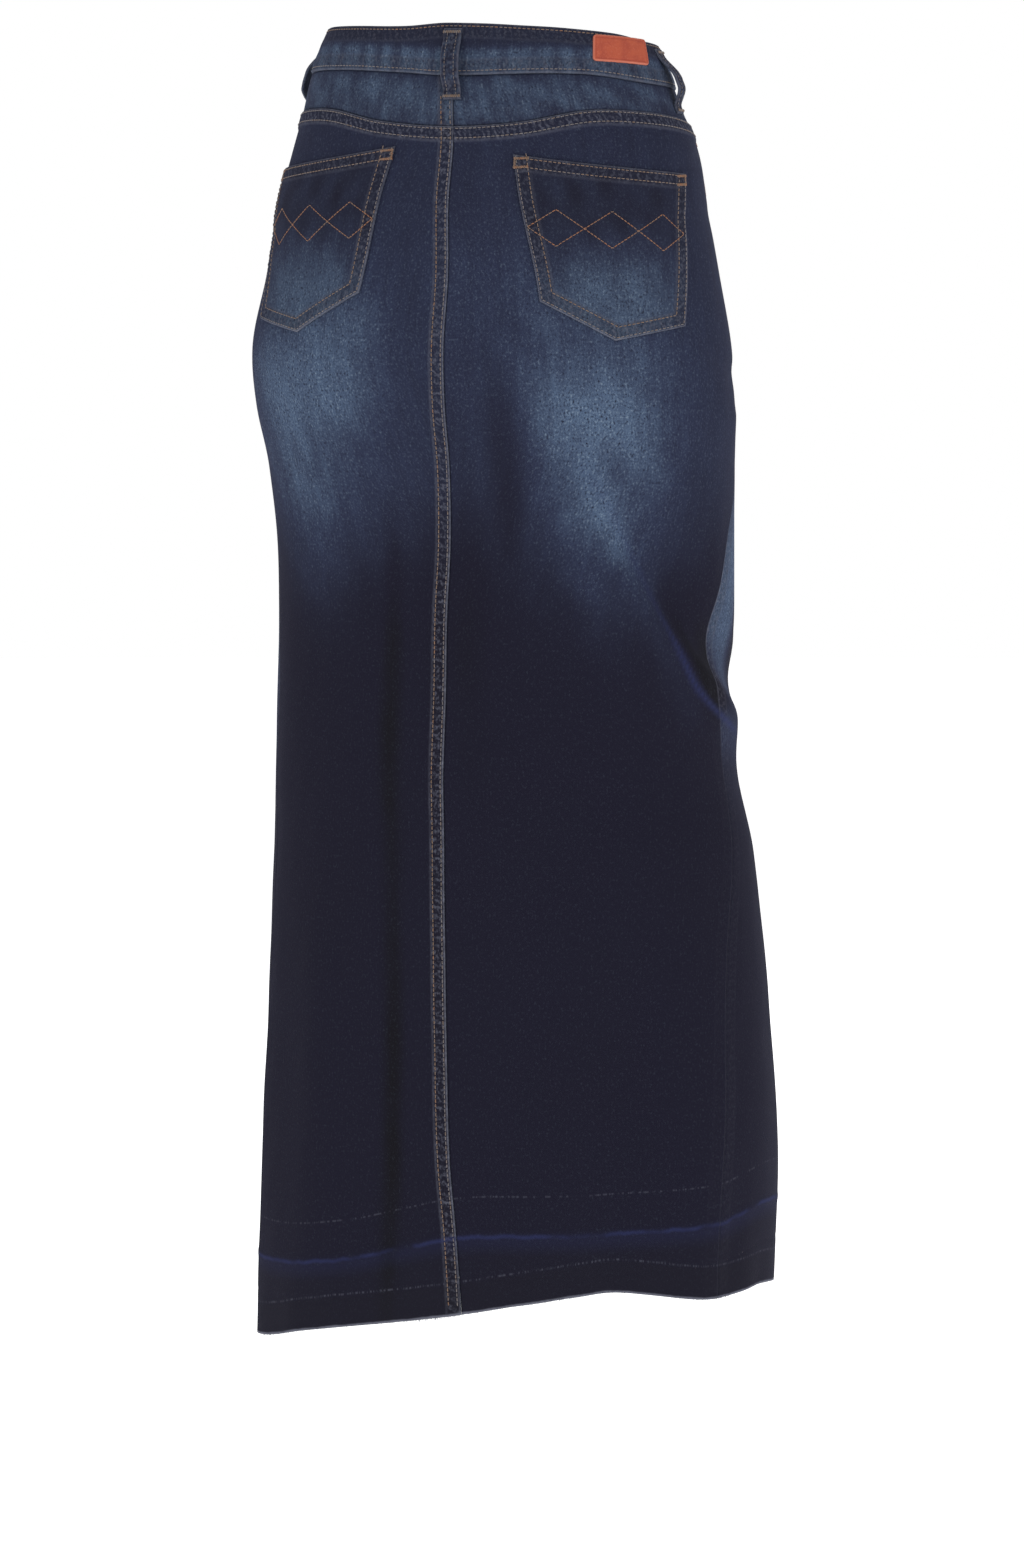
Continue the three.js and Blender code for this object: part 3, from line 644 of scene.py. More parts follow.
@dataclass
class Panel:
    """One of the four long panels, from the yoke or the waistband down to the hem."""

    side: Side
    fine: float = 1.05
    coarse: float = 3.5
    reach: float = 13.0
    hem_fine: float = 1.9
    hem_reach: float = 100.0

    def fractions(self) -> Array:
        """Shares of the way from the shared level to the hem, closer near the hem."""
        length = NOMINAL_HEM - SHARED_TOP
        upper = np.arange(1, round((length - self.hem_reach) / self.coarse)) * self.coarse
        lower = np.linspace(length - self.hem_reach, length, round(self.hem_reach / self.hem_fine))
        return np.concatenate([upper, lower]) / length

    def seam_points(self, seam: Curve, fractions: Array, way: int) -> tuple[Array, Array]:
        """Angles and drops where the rows meet a long seam, beside it by half of the gap."""
        drop = np.full(len(fractions), float(SHARED_TOP))
        for _ in range(5):
            drop = mix(SHARED_TOP, hem_edge(wrapped(seam(drop))), fractions)
        return beside(seam(drop), drop, way), drop

    def columns(self, start: Array, end: Array, drop: Array) -> Array:
        """Angles of a panel's columns in each row.

        Columns stand close together within reach of each seam, at set distances from it, and
        evenly between.

        Args:
            start: Angle of the first column in each row.
            end: Angle of the last column in each row.
            drop: Drop of each row.

        Returns:
            Angles, rows by columns.
        """
        ends = np.arange(0, self.reach, self.fine)
        count = round(262 / self.coarse)

        def degrees(at: Array) -> Array:
            """Degrees to a millimetre round the body at each row's seam."""
            ahead = place(at + ANGLE_STEP, drop) - place(at - ANGLE_STEP, drop)
            return 2 * ANGLE_STEP / np.linalg.norm(ahead, axis=-1)

        first = start[:, None] + degrees(start)[:, None] * ends
        last = end[:, None] - degrees(end)[:, None] * ends[::-1]
        share = np.linspace(0, 1, count + 2)[1:-1]
        middle = mix(first[:, -1:], last[:, :1], share)
        return np.concatenate([first, middle, last], axis=1)


def arc(angle: Number, seam: Number, drop: Number) -> Number:
    """Distance round the body from a seam, worked out with the radius half way between."""
    half = (np.asarray(angle) + seam) / 2
    return (np.asarray(angle) - seam) * DEGREE * radius(half, drop)


def back_height(side: Side, angle: Number, drop: Number) -> Number:
    """Height of a back panel's face: creases, and the doubled strips below the yoke and beside the seam."""
    rise = fell_rise(drop - yoke_seam(angle))
    if side is Side.LEFT:
        rise = np.maximum(rise, fell_rise(arc(angle, seam_back(drop), drop)))
    return rise + drape(angle, drop)


def back_edges(side: Side, angle: Array, drop: Array) -> tuple[Edge, Edge]:
    """The worn edges of a back panel: beside the centre back seam or the side seam, and below the yoke."""
    from_back = np.abs(arc(angle, seam_back(drop), drop))
    from_side = np.abs(arc(angle, side.seam(drop), drop))
    if side is Side.LEFT:
        near = from_back < 40
        beside_back = Edge(from_back, drop, np.ones_like(drop))
        other = Edge(from_side, drop, 0.05 * np.ones_like(drop))
        edge = Edge(
            np.where(near, beside_back.away, other.away), drop,
            np.where(near, beside_back.strength, other.strength),
        )
    else:
        edge = Edge(from_side, drop, 0.05 * np.ones_like(drop))
    level = Edge(drop - yoke_seam(angle), angle * FOLD_ARC, np.ones_like(drop))
    return edge, level


@dataclass
class BackPanel(Panel):
    """A back panel, with the doubled strip that the yoke and its neighbour are felled to."""

    def build(self) -> bpy.types.Object:
        """Makes the panel on the rows of the model, set closer."""
        left = self.side is Side.LEFT
        start_seam, end_seam = (seam_back, seam_left) if left else (seam_right, seam_back)
        yoke_start = float(yoke_seam(0)) + SEAM_GAP
        down = steps(1, 0.026, 0.075, 0.3)[:-4]
        level = mix(yoke_start, SHARED_TOP, down)
        start_top = beside(start_seam(level), level, 1)
        end_top = beside(end_seam(level), level, -1)
        upper = self.columns(start_top, end_top, level)
        upper_drop = mix(yoke_seam(upper) + SEAM_GAP, SHARED_TOP, down[:, None])
        shares = self.fractions()
        start, start_drop = self.seam_points(start_seam, shares, 1)
        end, end_drop = self.seam_points(end_seam, shares, -1)
        lower = self.columns(start, end, (start_drop + end_drop) / 2)
        lower_drop = mix(SHARED_TOP, hem_edge(lower), shares[:, None])
        angle = np.concatenate([upper, lower])
        drop = np.concatenate([upper_drop, lower_drop])
        side_edge, level_edge = back_edges(self.side, angle, drop)
        top = back_height(self.side, angle, drop)
        top += level_edge.rope(FELL_WIDTH, ROPE_RISE)
        if left:
            top += side_edge.rope(FELL_WIDTH, ROPE_RISE) * (side_edge.away < 20)
        top += hem_relief(angle, drop)
        base = drape(angle, drop) - CLOTH
        return Grid(
            f"cloth_back_panel_{self.side.word}", angle, drop, top, base, fade_and_painted_light_at(angle, drop),
            side_edge, level_edge, low_marks(angle, drop),
        ).build()


HEM_STITCH = 28.5
HEM_HOLES = -28.7
HEM_CUT = 24


def below_crease(angle: Number, drop: Number) -> Number:
    """Distance below the old fold of the hem."""
    return drop - crease_edge(wrapped(angle))


def hem_relief(angle: Number, drop: Number) -> Number:
    """Height of the let-down hem: a soft ridge at the old fold, a dip at its row of stitches, and a
    loose wave towards the raw edge."""
    below = below_crease(angle, drop)
    flare = noise(41, 60, angle * FOLD_ARC) * smooth((below + 12) / 70)
    return 0.4 * bump(below / 2.6) - 0.25 * bump((below - HEM_STITCH) / 1.6) + 0.8 * flare


def low_marks(angle: Number, drop: Number) -> Array:
    """Marks of a panel's lower part: distance up from the raw edge, distance below the old fold of
    the hem, and how near the crest of the fold behind the right thigh is, where a painted highlight goes."""
    up = hem_edge(wrapped(angle)) - drop
    crest = bump(from_crest(angle, drop) / 2.4) * crest_fade(angle) * (0.3 + 0.7 * smooth((drop - 380) / 70))
    return np.stack(np.broadcast_arrays(up, below_crease(angle, drop), crest), axis=-1)


SCOOP_ACROSS = 85
SCOOP_DOWN = 68
SCOOP_UNDER = 8
SCOOP_RECESS = 3.8
SCOOP_NARROW = 30
SCOOP_LIP = 27
SCOOP_LAST_SWING = 82


def front_height(side: Side, angle: Number, drop: Number) -> Number:
    """Height of a front panel's face: creases, and on the left one the fly and its felled strip."""
    rise = drape(angle, drop)
    if side is Side.RIGHT:
        return rise
    distance = arc(CENTRE_FRONT, angle, drop)
    fly = FLY_RISE * smooth((FLY_WIDTH - distance) / FLY_FADE) * smooth((FLY_END - drop) / FLY_FADE / 4)
    return rise + np.maximum(fly, fell_rise(distance))


@dataclass
class FrontPanel(Panel):
    """A front panel, cut out at the top for the pocket mouth."""

    mouth_rows: int = 44

    def build(self) -> bpy.types.Object:
        """Makes the panel from the centre front to the pocket mouth and the side seam."""
        left = self.side is Side.LEFT
        seam = self.side.seam
        away = self.side.value
        centre = CENTRE_FRONT if left else CENTRE_FRONT - TURN
        across = steps(1, 0.0045, 0.0148, 0.055)
        swing = np.linspace(0, 1, self.mouth_rows)[:, None] * math.pi / 2
        mouth_down = SCOOP_DOWN * np.sin(swing)
        mouth_drop = band_edge(wrapped(seam(0))) + SEAM_GAP + mouth_down
        mouth_out = away * (SCOOP_ACROSS * np.cos(swing) + SEAM_GAP / 2)
        mouth = walk(seam(mouth_drop), mouth_drop, mouth_out)
        level = np.full((1, 1), float(SHARED_TOP))
        shares = self.fractions()
        low, low_drop = self.seam_points(seam, shares, away)
        edge = np.concatenate([mouth, beside(seam(level), level, away), low[:, None]])
        edge_drop = np.concatenate([mouth_drop, level, low_drop[:, None]])
        middle = beside(centre, edge_drop, -away)
        angle = mix(edge, middle, across) if left else mix(middle, edge, across)
        rows = self.mouth_rows
        drop = np.empty_like(angle)
        drop[:rows] = band_edge(wrapped(angle[:rows])) + SEAM_GAP + mouth_down
        drop[rows] = SHARED_TOP
        drop[rows + 1 :] = mix(SHARED_TOP, hem_edge(wrapped(angle[rows + 1 :])), shares[:, None])
        from_side = np.abs(arc(angle, seam(drop), drop))
        from_centre = np.abs(arc(angle, centre, drop))
        worn = np.where(drop < SHARED_TOP, 0, 0.10 + 0.7 * bump((drop - 400) / 80))
        near = (from_centre < 40) & left
        side_edge = Edge(np.where(near, from_centre, from_side), drop, np.where(near, 1, worn))
        mouth_edge = Edge(np.broadcast_to(from_mouth(self.side, angle, drop), drop.shape),
                          angle * FOLD_ARC, np.where(drop < 115, 0.8, 0))
        # Painted sheen: a paler band on each front panel beside its side seam, around a drop of 400.
        bright = 0.70 * bump((drop - 398) / 92) * smooth((60 - from_side) / 30)
        top = front_height(self.side, angle, drop)
        top = top + side_edge.rope(FELL_WIDTH, ROPE_RISE) * near + mouth_edge.rope(9, 0.15)
        top = top + hem_relief(angle, drop)
        base = drape(angle, drop) - CLOTH
        return Grid(
            f"cloth_front_panel_{self.side.word}", angle, drop, top, base, fade_and_painted_light_at(angle, drop) + bright,
            side_edge, mouth_edge, low_marks(angle, drop),
        ).build()


def from_mouth(side: Side, angle: Array, drop: Array) -> Array:
    """Distance of a place on the front panel from the curved pocket mouth.

    The mouth is a quarter of an oval round the corner of waistband and side seam.
    """
    out = np.abs(arc(angle, side.seam(drop), drop))
    down = drop - band_edge(wrapped(angle))
    share = np.hypot(out / SCOOP_ACROSS, down / SCOOP_DOWN)
    size = np.hypot(out, down)
    return np.abs(size - size / np.maximum(share, 1e-6))


def yoke_height(side: Side, angle: Number, drop: Number) -> Number:
    """Height of a yoke's face: creases, and on the left one the doubled strip at the centre back."""
    rise = drape(angle, drop)
    if side is Side.LEFT:
        rise = rise + fell_rise(arc(angle, seam_back(drop), drop))
    return rise


@dataclass
class Yoke:
    """Half of the back yoke, between the waistband and the pocket panels."""

    side: Side
    columns: int = 130
    rows: int = 22

    def build(self) -> bpy.types.Object:
        """Makes the yoke half."""
        left = self.side is Side.LEFT
        level = 40
        start_seam, end_seam = (seam_back, seam_left) if left else (seam_right, seam_back)
        start = float(beside(start_seam(level), level, 1))
        end = float(beside(end_seam(level), level, -1))
        angle = np.linspace(start, end, self.columns)[None, :]
        down = np.linspace(0, 1, self.rows)[:, None]
        drop = mix(band_edge(angle) + SEAM_GAP, yoke_seam(angle) - SEAM_GAP, down)
        angle = np.broadcast_to(angle, drop.shape)
        from_back = arc(angle, seam_back(drop), drop) if left else Edge.none(drop.shape).away
        side_edge = Edge(from_back, drop, np.full(drop.shape, 1.0 if left else 0.0))
        level_edge = Edge(yoke_seam(angle) - drop, angle * FOLD_ARC, np.full(drop.shape, 0.12))
        top = yoke_height(self.side, angle, drop) + side_edge.rope(FELL_WIDTH, ROPE_RISE)
        top = top - 0.25 * bump((yoke_seam(angle) - drop) / 1.2)
        base = drape(angle, drop) - CLOTH
        sides = smooth((np.abs(angle - 90) - 62) / 40)
        fade_and_painted_light = 0.30 - 0.12 * sides + 0.13 * noise(51, 26, angle * FOLD_ARC, drop) + fade_and_painted_light_at(angle, drop)
        # Painted shade just under the waistband's edge and just above the back panels' folded edge.
        fade_and_painted_light = fade_and_painted_light - 0.16 * bump((drop - band_edge(angle)) / 6) - 0.12 * bump((yoke_seam(angle) - drop) / 6)
        return Grid(
            f"cloth_back_yoke_{self.side.word}", angle, drop, top, base, fade_and_painted_light,
            side_edge, level_edge,
        ).build()


@dataclass
class PatchPocket:
    """A five-sided back pocket: distances from the centre back seam and drops of its corners."""

    side: Side
    slant: float
    top_inner: tuple = (44.5, 74.5)
    top_outer: tuple = (182.5, 86.5)
    low_inner: tuple = (68, 178.5)
    point: tuple = (124, 206)
    low_outer: tuple = (179, 195.5)
    top_bow: float = 2
    columns: int = 104
    rows: int = 92
    turned: float = 10
    top_hem: float = 10.5

    def spot(self, u: Number, v: Number) -> tuple[Number, Number]:
        """Distance from the seam and drop at a share u of the way out and v of the way down."""
        point_at = (self.point[0] - self.low_inner[0]) / (self.low_outer[0] - self.low_inner[0])
        bow = self.top_bow * 4 * u * (1 - u)
        top_out = mix(self.top_inner[0], self.top_outer[0], u)
        top_drop = mix(self.top_inner[1], self.top_outer[1], u) + bow
        low_out = mix(self.low_inner[0], self.low_outer[0], u)
        inner = mix(self.low_inner[1], self.point[1], u / point_at)
        outer = mix(self.point[1], self.low_outer[1], (u - point_at) / (1 - point_at))
        low_drop = np.where(u < point_at, inner, outer)
        return mix(top_out, low_out, v), mix(top_drop, low_drop, v) + self.slant

    def angle_at(self, out: Number, drop: Number) -> Number:
        """Angle at a distance from the centre back seam."""
        return walk(seam_back(drop), drop, self.side.value * out)

    def distances(self, out: Array, drop: Array) -> tuple[Edge, Edge]:
        """The pocket's turned edges and its top hem, from each place on it.

        Args:
            out: Distances from the centre back seam.
            drop: Drops.

        Returns:
            The nearest of the side and lower edges, and the top edge.
        """
        corners = [self.top_inner, self.low_inner, self.point, self.low_outer, self.top_outer]
        corners = [np.array([x, y + self.slant]) for x, y in corners]
        here = np.stack([out, drop], axis=-1)
        away = np.full(out.shape, 99.0)
        along = np.zeros(out.shape)
        start = 0.0
        for a, b in zip(corners[:-1], corners[1:]):
            way = (b - a) / np.linalg.norm(b - a)
            across = np.array([way[1], -way[0]])
            distance = (here - a) @ across
            nearer = distance < away
            away = np.where(nearer, distance, away)
            along = np.where(nearer, start + (here - a) @ way, along)
            start += float(np.linalg.norm(b - a))
        low = smooth((drop - self.slant - self.top_inner[1]) / 90)
        to_point = np.hypot(out - self.point[0], drop - self.slant - self.point[1])
        edge = Edge(np.maximum(away, 0), along, 0.6 + 0.5 * low + 0.7 * bump(to_point / 9))
        share = (out - self.top_inner[0]) / (self.top_outer[0] - self.top_inner[0])
        top_line = mix(self.top_inner[1], self.top_outer[1], share) + self.slant
        top_line = top_line + self.top_bow * 4 * share * (1 - share)
        return edge, Edge(np.maximum(drop - top_line, 0), out, np.full(out.shape, 0.75))

    def height(self, out: Array, drop: Array) -> Array:
        """Height of the pocket's face over the form: doubled at its turned edges and at its top hem."""
        edge, top = self.distances(out, drop)
        angle = self.angle_at(out, drop)
        at_edge = smooth((self.turned + 1 - edge.away) / 2)
        doubled = np.maximum(at_edge, smooth((self.top_hem + 1 - top.away) / 2))
        crown = 0.5 * smooth((edge.away - 10) / 30) * smooth((top.away - 10) / 30)
        ropes = edge.rope(self.turned, ROPE_RISE) + 0.6 * top.rope(self.top_hem, 0.2)
        return drape(angle, drop) + SEAM_GAP + POCKET_THICKNESS - 0.35 + 0.45 * doubled + crown + ropes

    def build(self) -> bpy.types.Object:
        """Makes the pocket."""
        left = self.side is Side.LEFT
        u = np.linspace(0, 1, self.columns)[None, :]
        u = u if left else 1 - u
        v = np.linspace(0, 1, self.rows)[:, None]
        out, drop = np.broadcast_arrays(*self.spot(u, v))
        angle = self.angle_at(out, drop)
        edge, top_edge_marks = self.distances(out, drop)
        middle = (out - 118) / 62
        lower = smooth((drop - self.slant - 118) / 58)
        fade_and_painted_light = 0.2 + 0.52 * lower * np.exp(-np.abs(middle) ** 3.5) + 0.06 * noise(52, 30, out, drop)
        top = self.height(out, drop)
        base = drape(angle, drop) + SEAM_GAP
        return Grid(
            f"cloth_back_pocket_{self.side.word}", angle, drop, top, base, fade_and_painted_light, edge, top_edge_marks,
        ).build()


@dataclass
class Facing:
    """The facing of a front pocket, seen inside the scoop."""

    side: Side
    columns: int = 46
    rows: int = 40

    def build(self) -> bpy.types.Object:
        """Makes the facing, level with the side seam at its outer edge and sunk towards the mouth."""
        left = self.side is Side.LEFT
        seam = self.side.seam
        u = np.linspace(0, 1, self.columns)[None, :]
        u = u if left else 1 - u
        swing = np.linspace(0, SCOOP_LAST_SWING * DEGREE, self.rows)[:, None]
        down = (SCOOP_DOWN + SCOOP_UNDER) * np.sin(swing)
        out = mix(SEAM_GAP / 2, (SCOOP_ACROSS + SCOOP_UNDER) * np.cos(swing), u)
        seam_drop = band_edge(wrapped(seam(0))) + down
        angle = walk(seam(seam_drop), seam_drop, self.side.value * out)
        drop = band_edge(wrapped(angle)) + SEAM_GAP + down
        mouth = SCOOP_ACROSS * np.sqrt(np.maximum(0, 1 - (down / SCOOP_DOWN) ** 2))
        wide_open = smooth((mouth - SCOOP_NARROW) / SCOOP_NARROW)
        sink = smooth(out / np.maximum(1, mouth - SCOOP_LIP))
        face = -SCOOP_RECESS * (1 - wide_open * (1 - sink)) - 0.15
        return Grid(
            f"cloth_pocket_facing_{self.side.word}", angle, drop, face, face - CLOTH + 0.15,
            0.35 + 0.0 * drop,
        ).build()


OVERLAP_UNDER = 14
OVERLAP_OVER = 9
LIFT_FROM = 244
LIFT_TO = 255
LIFT = 3.4


def band_lift(angle: Number) -> Number:
    """How far the waistband's left end is lifted over its right end."""
    return LIFT * smooth((angle - LIFT_FROM) / (LIFT_TO - LIFT_FROM))


def band_height(angle: Number, drop: Number) -> Number:
    """Height of the waistband's face: a soft roll with puckers along its lower row of stitches."""
    upper, lower = top_edge(wrapped(angle)), band_edge(wrapped(angle))
    along = angle * 2.35
    from_lower = lower - drop
    share = np.clip((drop - upper) / (lower - upper), 0, 1)
    roll = 0.35 * np.sin(math.pi * share) ** 0.6
    wave = np.sin(2 * math.pi * along / 11 + 2.4 * noise(61, 70, along))
    pucker = 0.34 * wave * smooth((from_lower - 2) / 3) * smooth((17 - from_lower) / 9)
    dips = 0.4 * bump((from_lower - 2.6) / 0.9) + 0.25 * bump((drop - upper - 2.4) / 0.9)
    ridge = 0.25 * bump((from_lower - 19 - 2 * noise(62, 120, along)) / 3)
    broad = 0.35 * noise(63, 60, along, drop)
    return WAISTBAND_FACE - 0.15 + band_lift(angle) + roll + pucker - dips + ridge + broad


@dataclass
class Waistband:
    """The contoured waistband, open at the centre front with its left end over its right."""

    columns: int = 420

    def build(self) -> bpy.types.Object:
        """Makes the ring."""
        start = CENTRE_FRONT - TURN - OVERLAP_UNDER
        end = CENTRE_FRONT + OVERLAP_OVER
        angle = np.linspace(start, end, self.columns)[None, :]
        down = steps(1, 0.026, 0.05, 0.13)[:, None]
        drop = mix(top_edge(wrapped(angle)), band_edge(wrapped(angle)), down)
        angle = np.broadcast_to(angle, drop.shape)
        lower, upper = band_edge(wrapped(angle)) - drop, drop - top_edge(wrapped(angle))
        along = angle * 2.35
        fade_and_painted_light = 0.54 * smooth((23 - lower) / 9) * (0.8 + 0.3 * noise(64, 24, along)) + 0.17
        side_edge = Edge(upper, along, np.full(drop.shape, 0.5))
        level_edge = Edge(lower, along, np.full(drop.shape, 0.8))
        base = np.broadcast_to(WAISTBAND_FACE - WAISTBAND_THICKNESS + band_lift(angle), drop.shape)
        return Grid(
            "cloth_waistband", angle, drop, band_height(angle, drop), base, fade_and_painted_light, side_edge, level_edge,
            edge_sink=0.6,
        ).build()


LOOP_WIDTH = 13
LOOPS = (
    ("back", 87.5, 4.5, 18, 6, 1.2),
    ("side_right", 0, 5, 19.5, 6, 0),
    ("side_left", 181, 8, 27, 6.5, 0),
    ("front_right", -60, 2, 17, 9.5, 0),
    ("front_left", 240, 2, 17, 9.5, 0),
)


@dataclass
class BeltLoop:
    """A folded strip that stands off the waistband between its two sewn ends.

    It starts a little under the waistband's upper edge and runs past its lower one.
    """

    name: str
    angle: float
    start: float
    past: float
    stand_off: float
    beneath: float
    columns: int = 15
    rows: int = 66

    @property
    def upper(self) -> float:
        """Drop of the loop's upper end."""
        return float(top_edge(wrapped(self.angle))) + self.start

    @property
    def lower(self) -> float:
        """Drop of the loop's lower end."""
        return float(band_edge(wrapped(self.angle))) + self.past

    def seat(self, drop: Number) -> Number:
        """Height of the loop's underside: on the cloth at both ends, bowed out between them."""
        from_top = smooth((drop - self.upper - 3) / 20)
        from_bottom = smooth((self.lower - 5 - drop) / 12)
        base = mix(SEAM_GAP + self.beneath, WAISTBAND_FACE + SEAM_GAP, smooth((self.lower - 4 - drop) / 8))
        return base + self.stand_off * from_top * from_bottom

    def build(self) -> bpy.types.Object:
        """Makes the loop, crinkled between its two folded sides."""
        drop = np.linspace(self.upper, self.lower, self.rows)[:, None]
        across = np.linspace(-0.5, 0.5, self.columns)[None, :] * LOOP_WIDTH
        angle = walk(self.angle, drop, across)
        drop = np.broadcast_to(drop, angle.shape)
        from_side = LOOP_WIDTH / 2 - np.abs(np.broadcast_to(across, angle.shape))
        seed = len(self.name) + int(self.angle) % TURN
        crinkle = 0.22 * noise(seed, 7, drop, across * 1.4) * smooth(from_side / 2)
        end = np.minimum(drop - self.upper, self.lower - drop)
        row_dip = 0.3 * bump((from_side - 3.2) / 0.7)
        top = self.seat(drop) + LOOP_THICKNESS - 0.1 + crinkle - row_dip
        top = top - 0.5 * smooth((1.5 - from_side) / 1.5)
        side_edge = Edge(from_side, drop, np.full(drop.shape, 0.75))
        fade_and_painted_light = 0.34 + 0.3 * noise(seed + 5, 6, drop, across)
        level_edge = Edge(end, across + 0 * drop, np.full(drop.shape, 0.7))
        return Grid(
            f"cloth_belt_loop_{self.name}", angle, drop, top, self.seat(drop), fade_and_painted_light, side_edge, level_edge,
            edge_sink=0.5,
        ).build()


PATCH_OUT = 124.5
PATCH_DROP = 2.8
PATCH_WIDTH = 48
PATCH_HEIGHT = 19
PATCH_SLOPE = 0.045
PATCH_CORNER = 2.6
PATCH_BORDER = 2.1


@dataclass
class WaistPatch:
    """The plain patch on the waistband, with a pressed border inside its rounded edge."""

    columns: int = 86
    rows: int = 38

    def build(self) -> bpy.types.Object:
        """Makes the patch. Its rows shorten towards the corners by a quarter circle."""
        v = np.linspace(-0.5, 0.5, self.rows)[:, None] * PATCH_HEIGHT
        into = np.maximum(0, np.abs(v) - PATCH_HEIGHT / 2 + PATCH_CORNER)
        half = PATCH_WIDTH / 2 - PATCH_CORNER + np.sqrt(np.maximum(0, PATCH_CORNER**2 - into**2))
        u = -np.linspace(-1, 1, self.columns)[None, :] * half
        v = np.broadcast_to(v, u.shape)
        away = np.minimum(half - np.abs(u), PATCH_HEIGHT / 2 - np.abs(v))
        out = PATCH_OUT + u
        drop = PATCH_DROP + v + PATCH_SLOPE * u
        angle = walk(seam_back(drop), drop, -out)
        seat = WAISTBAND_FACE + SEAM_GAP
        rule = bump((away - PATCH_BORDER) / 0.42)
        pebble = 0.05 * noise(71, 2.6, u, v) + 0.08 * noise(72, 9, u, v)
        top = seat + PATCH_THICKNESS + 0.1 - 0.34 * rule + pebble - 0.3 * smooth((1 - away) / 1)
        edge = Edge(away, u, np.ones_like(away))
        return Grid("waist_patch_plain", angle, drop, top, seat + 0 * drop, 0 * drop, edge).build()


STITCH_PITCH = 3.3
STITCH_LENGTH = 2.75
THREAD_RADIUS = 0.36
# Rings of a stitch: place along it, radius and height
CAPSULE_RINGS = (
    (-1.0, 0.3, -0.75), (-0.72, 0.95, 0.1), (0.0, 1.0, 0.42), (0.72, 0.95, 0.1), (1.0, 0.3, -0.75),
)
CAPSULE_SIDES = 5


def capsule() -> tuple[Array, Array]:
    """One bent stitch of half length 1 and radius 1: rings along it whose ends are small and sunk.

    Returns:
        Points as along, across and up, and triangles.
    """
    turns = np.arange(CAPSULE_SIDES) / CAPSULE_SIDES * 2 * math.pi
    points = [(t, r * math.cos(a), h + r * math.sin(a)) for t, r, h in CAPSULE_RINGS for a in turns]
    faces = []
    for ring in range(len(CAPSULE_RINGS) - 1):
        for k in range(CAPSULE_SIDES):
            a, b = ring * CAPSULE_SIDES + k, ring * CAPSULE_SIDES + (k + 1) % CAPSULE_SIDES
            faces += [(a, a + CAPSULE_SIDES, b), (b, a + CAPSULE_SIDES, b + CAPSULE_SIDES)]
    last = (len(CAPSULE_RINGS) - 1) * CAPSULE_SIDES
    for k in range(1, CAPSULE_SIDES - 1):
        faces += [(0, k, k + 1), (last, last + k + 1, last + k)]
    return np.array(points), np.array(faces)


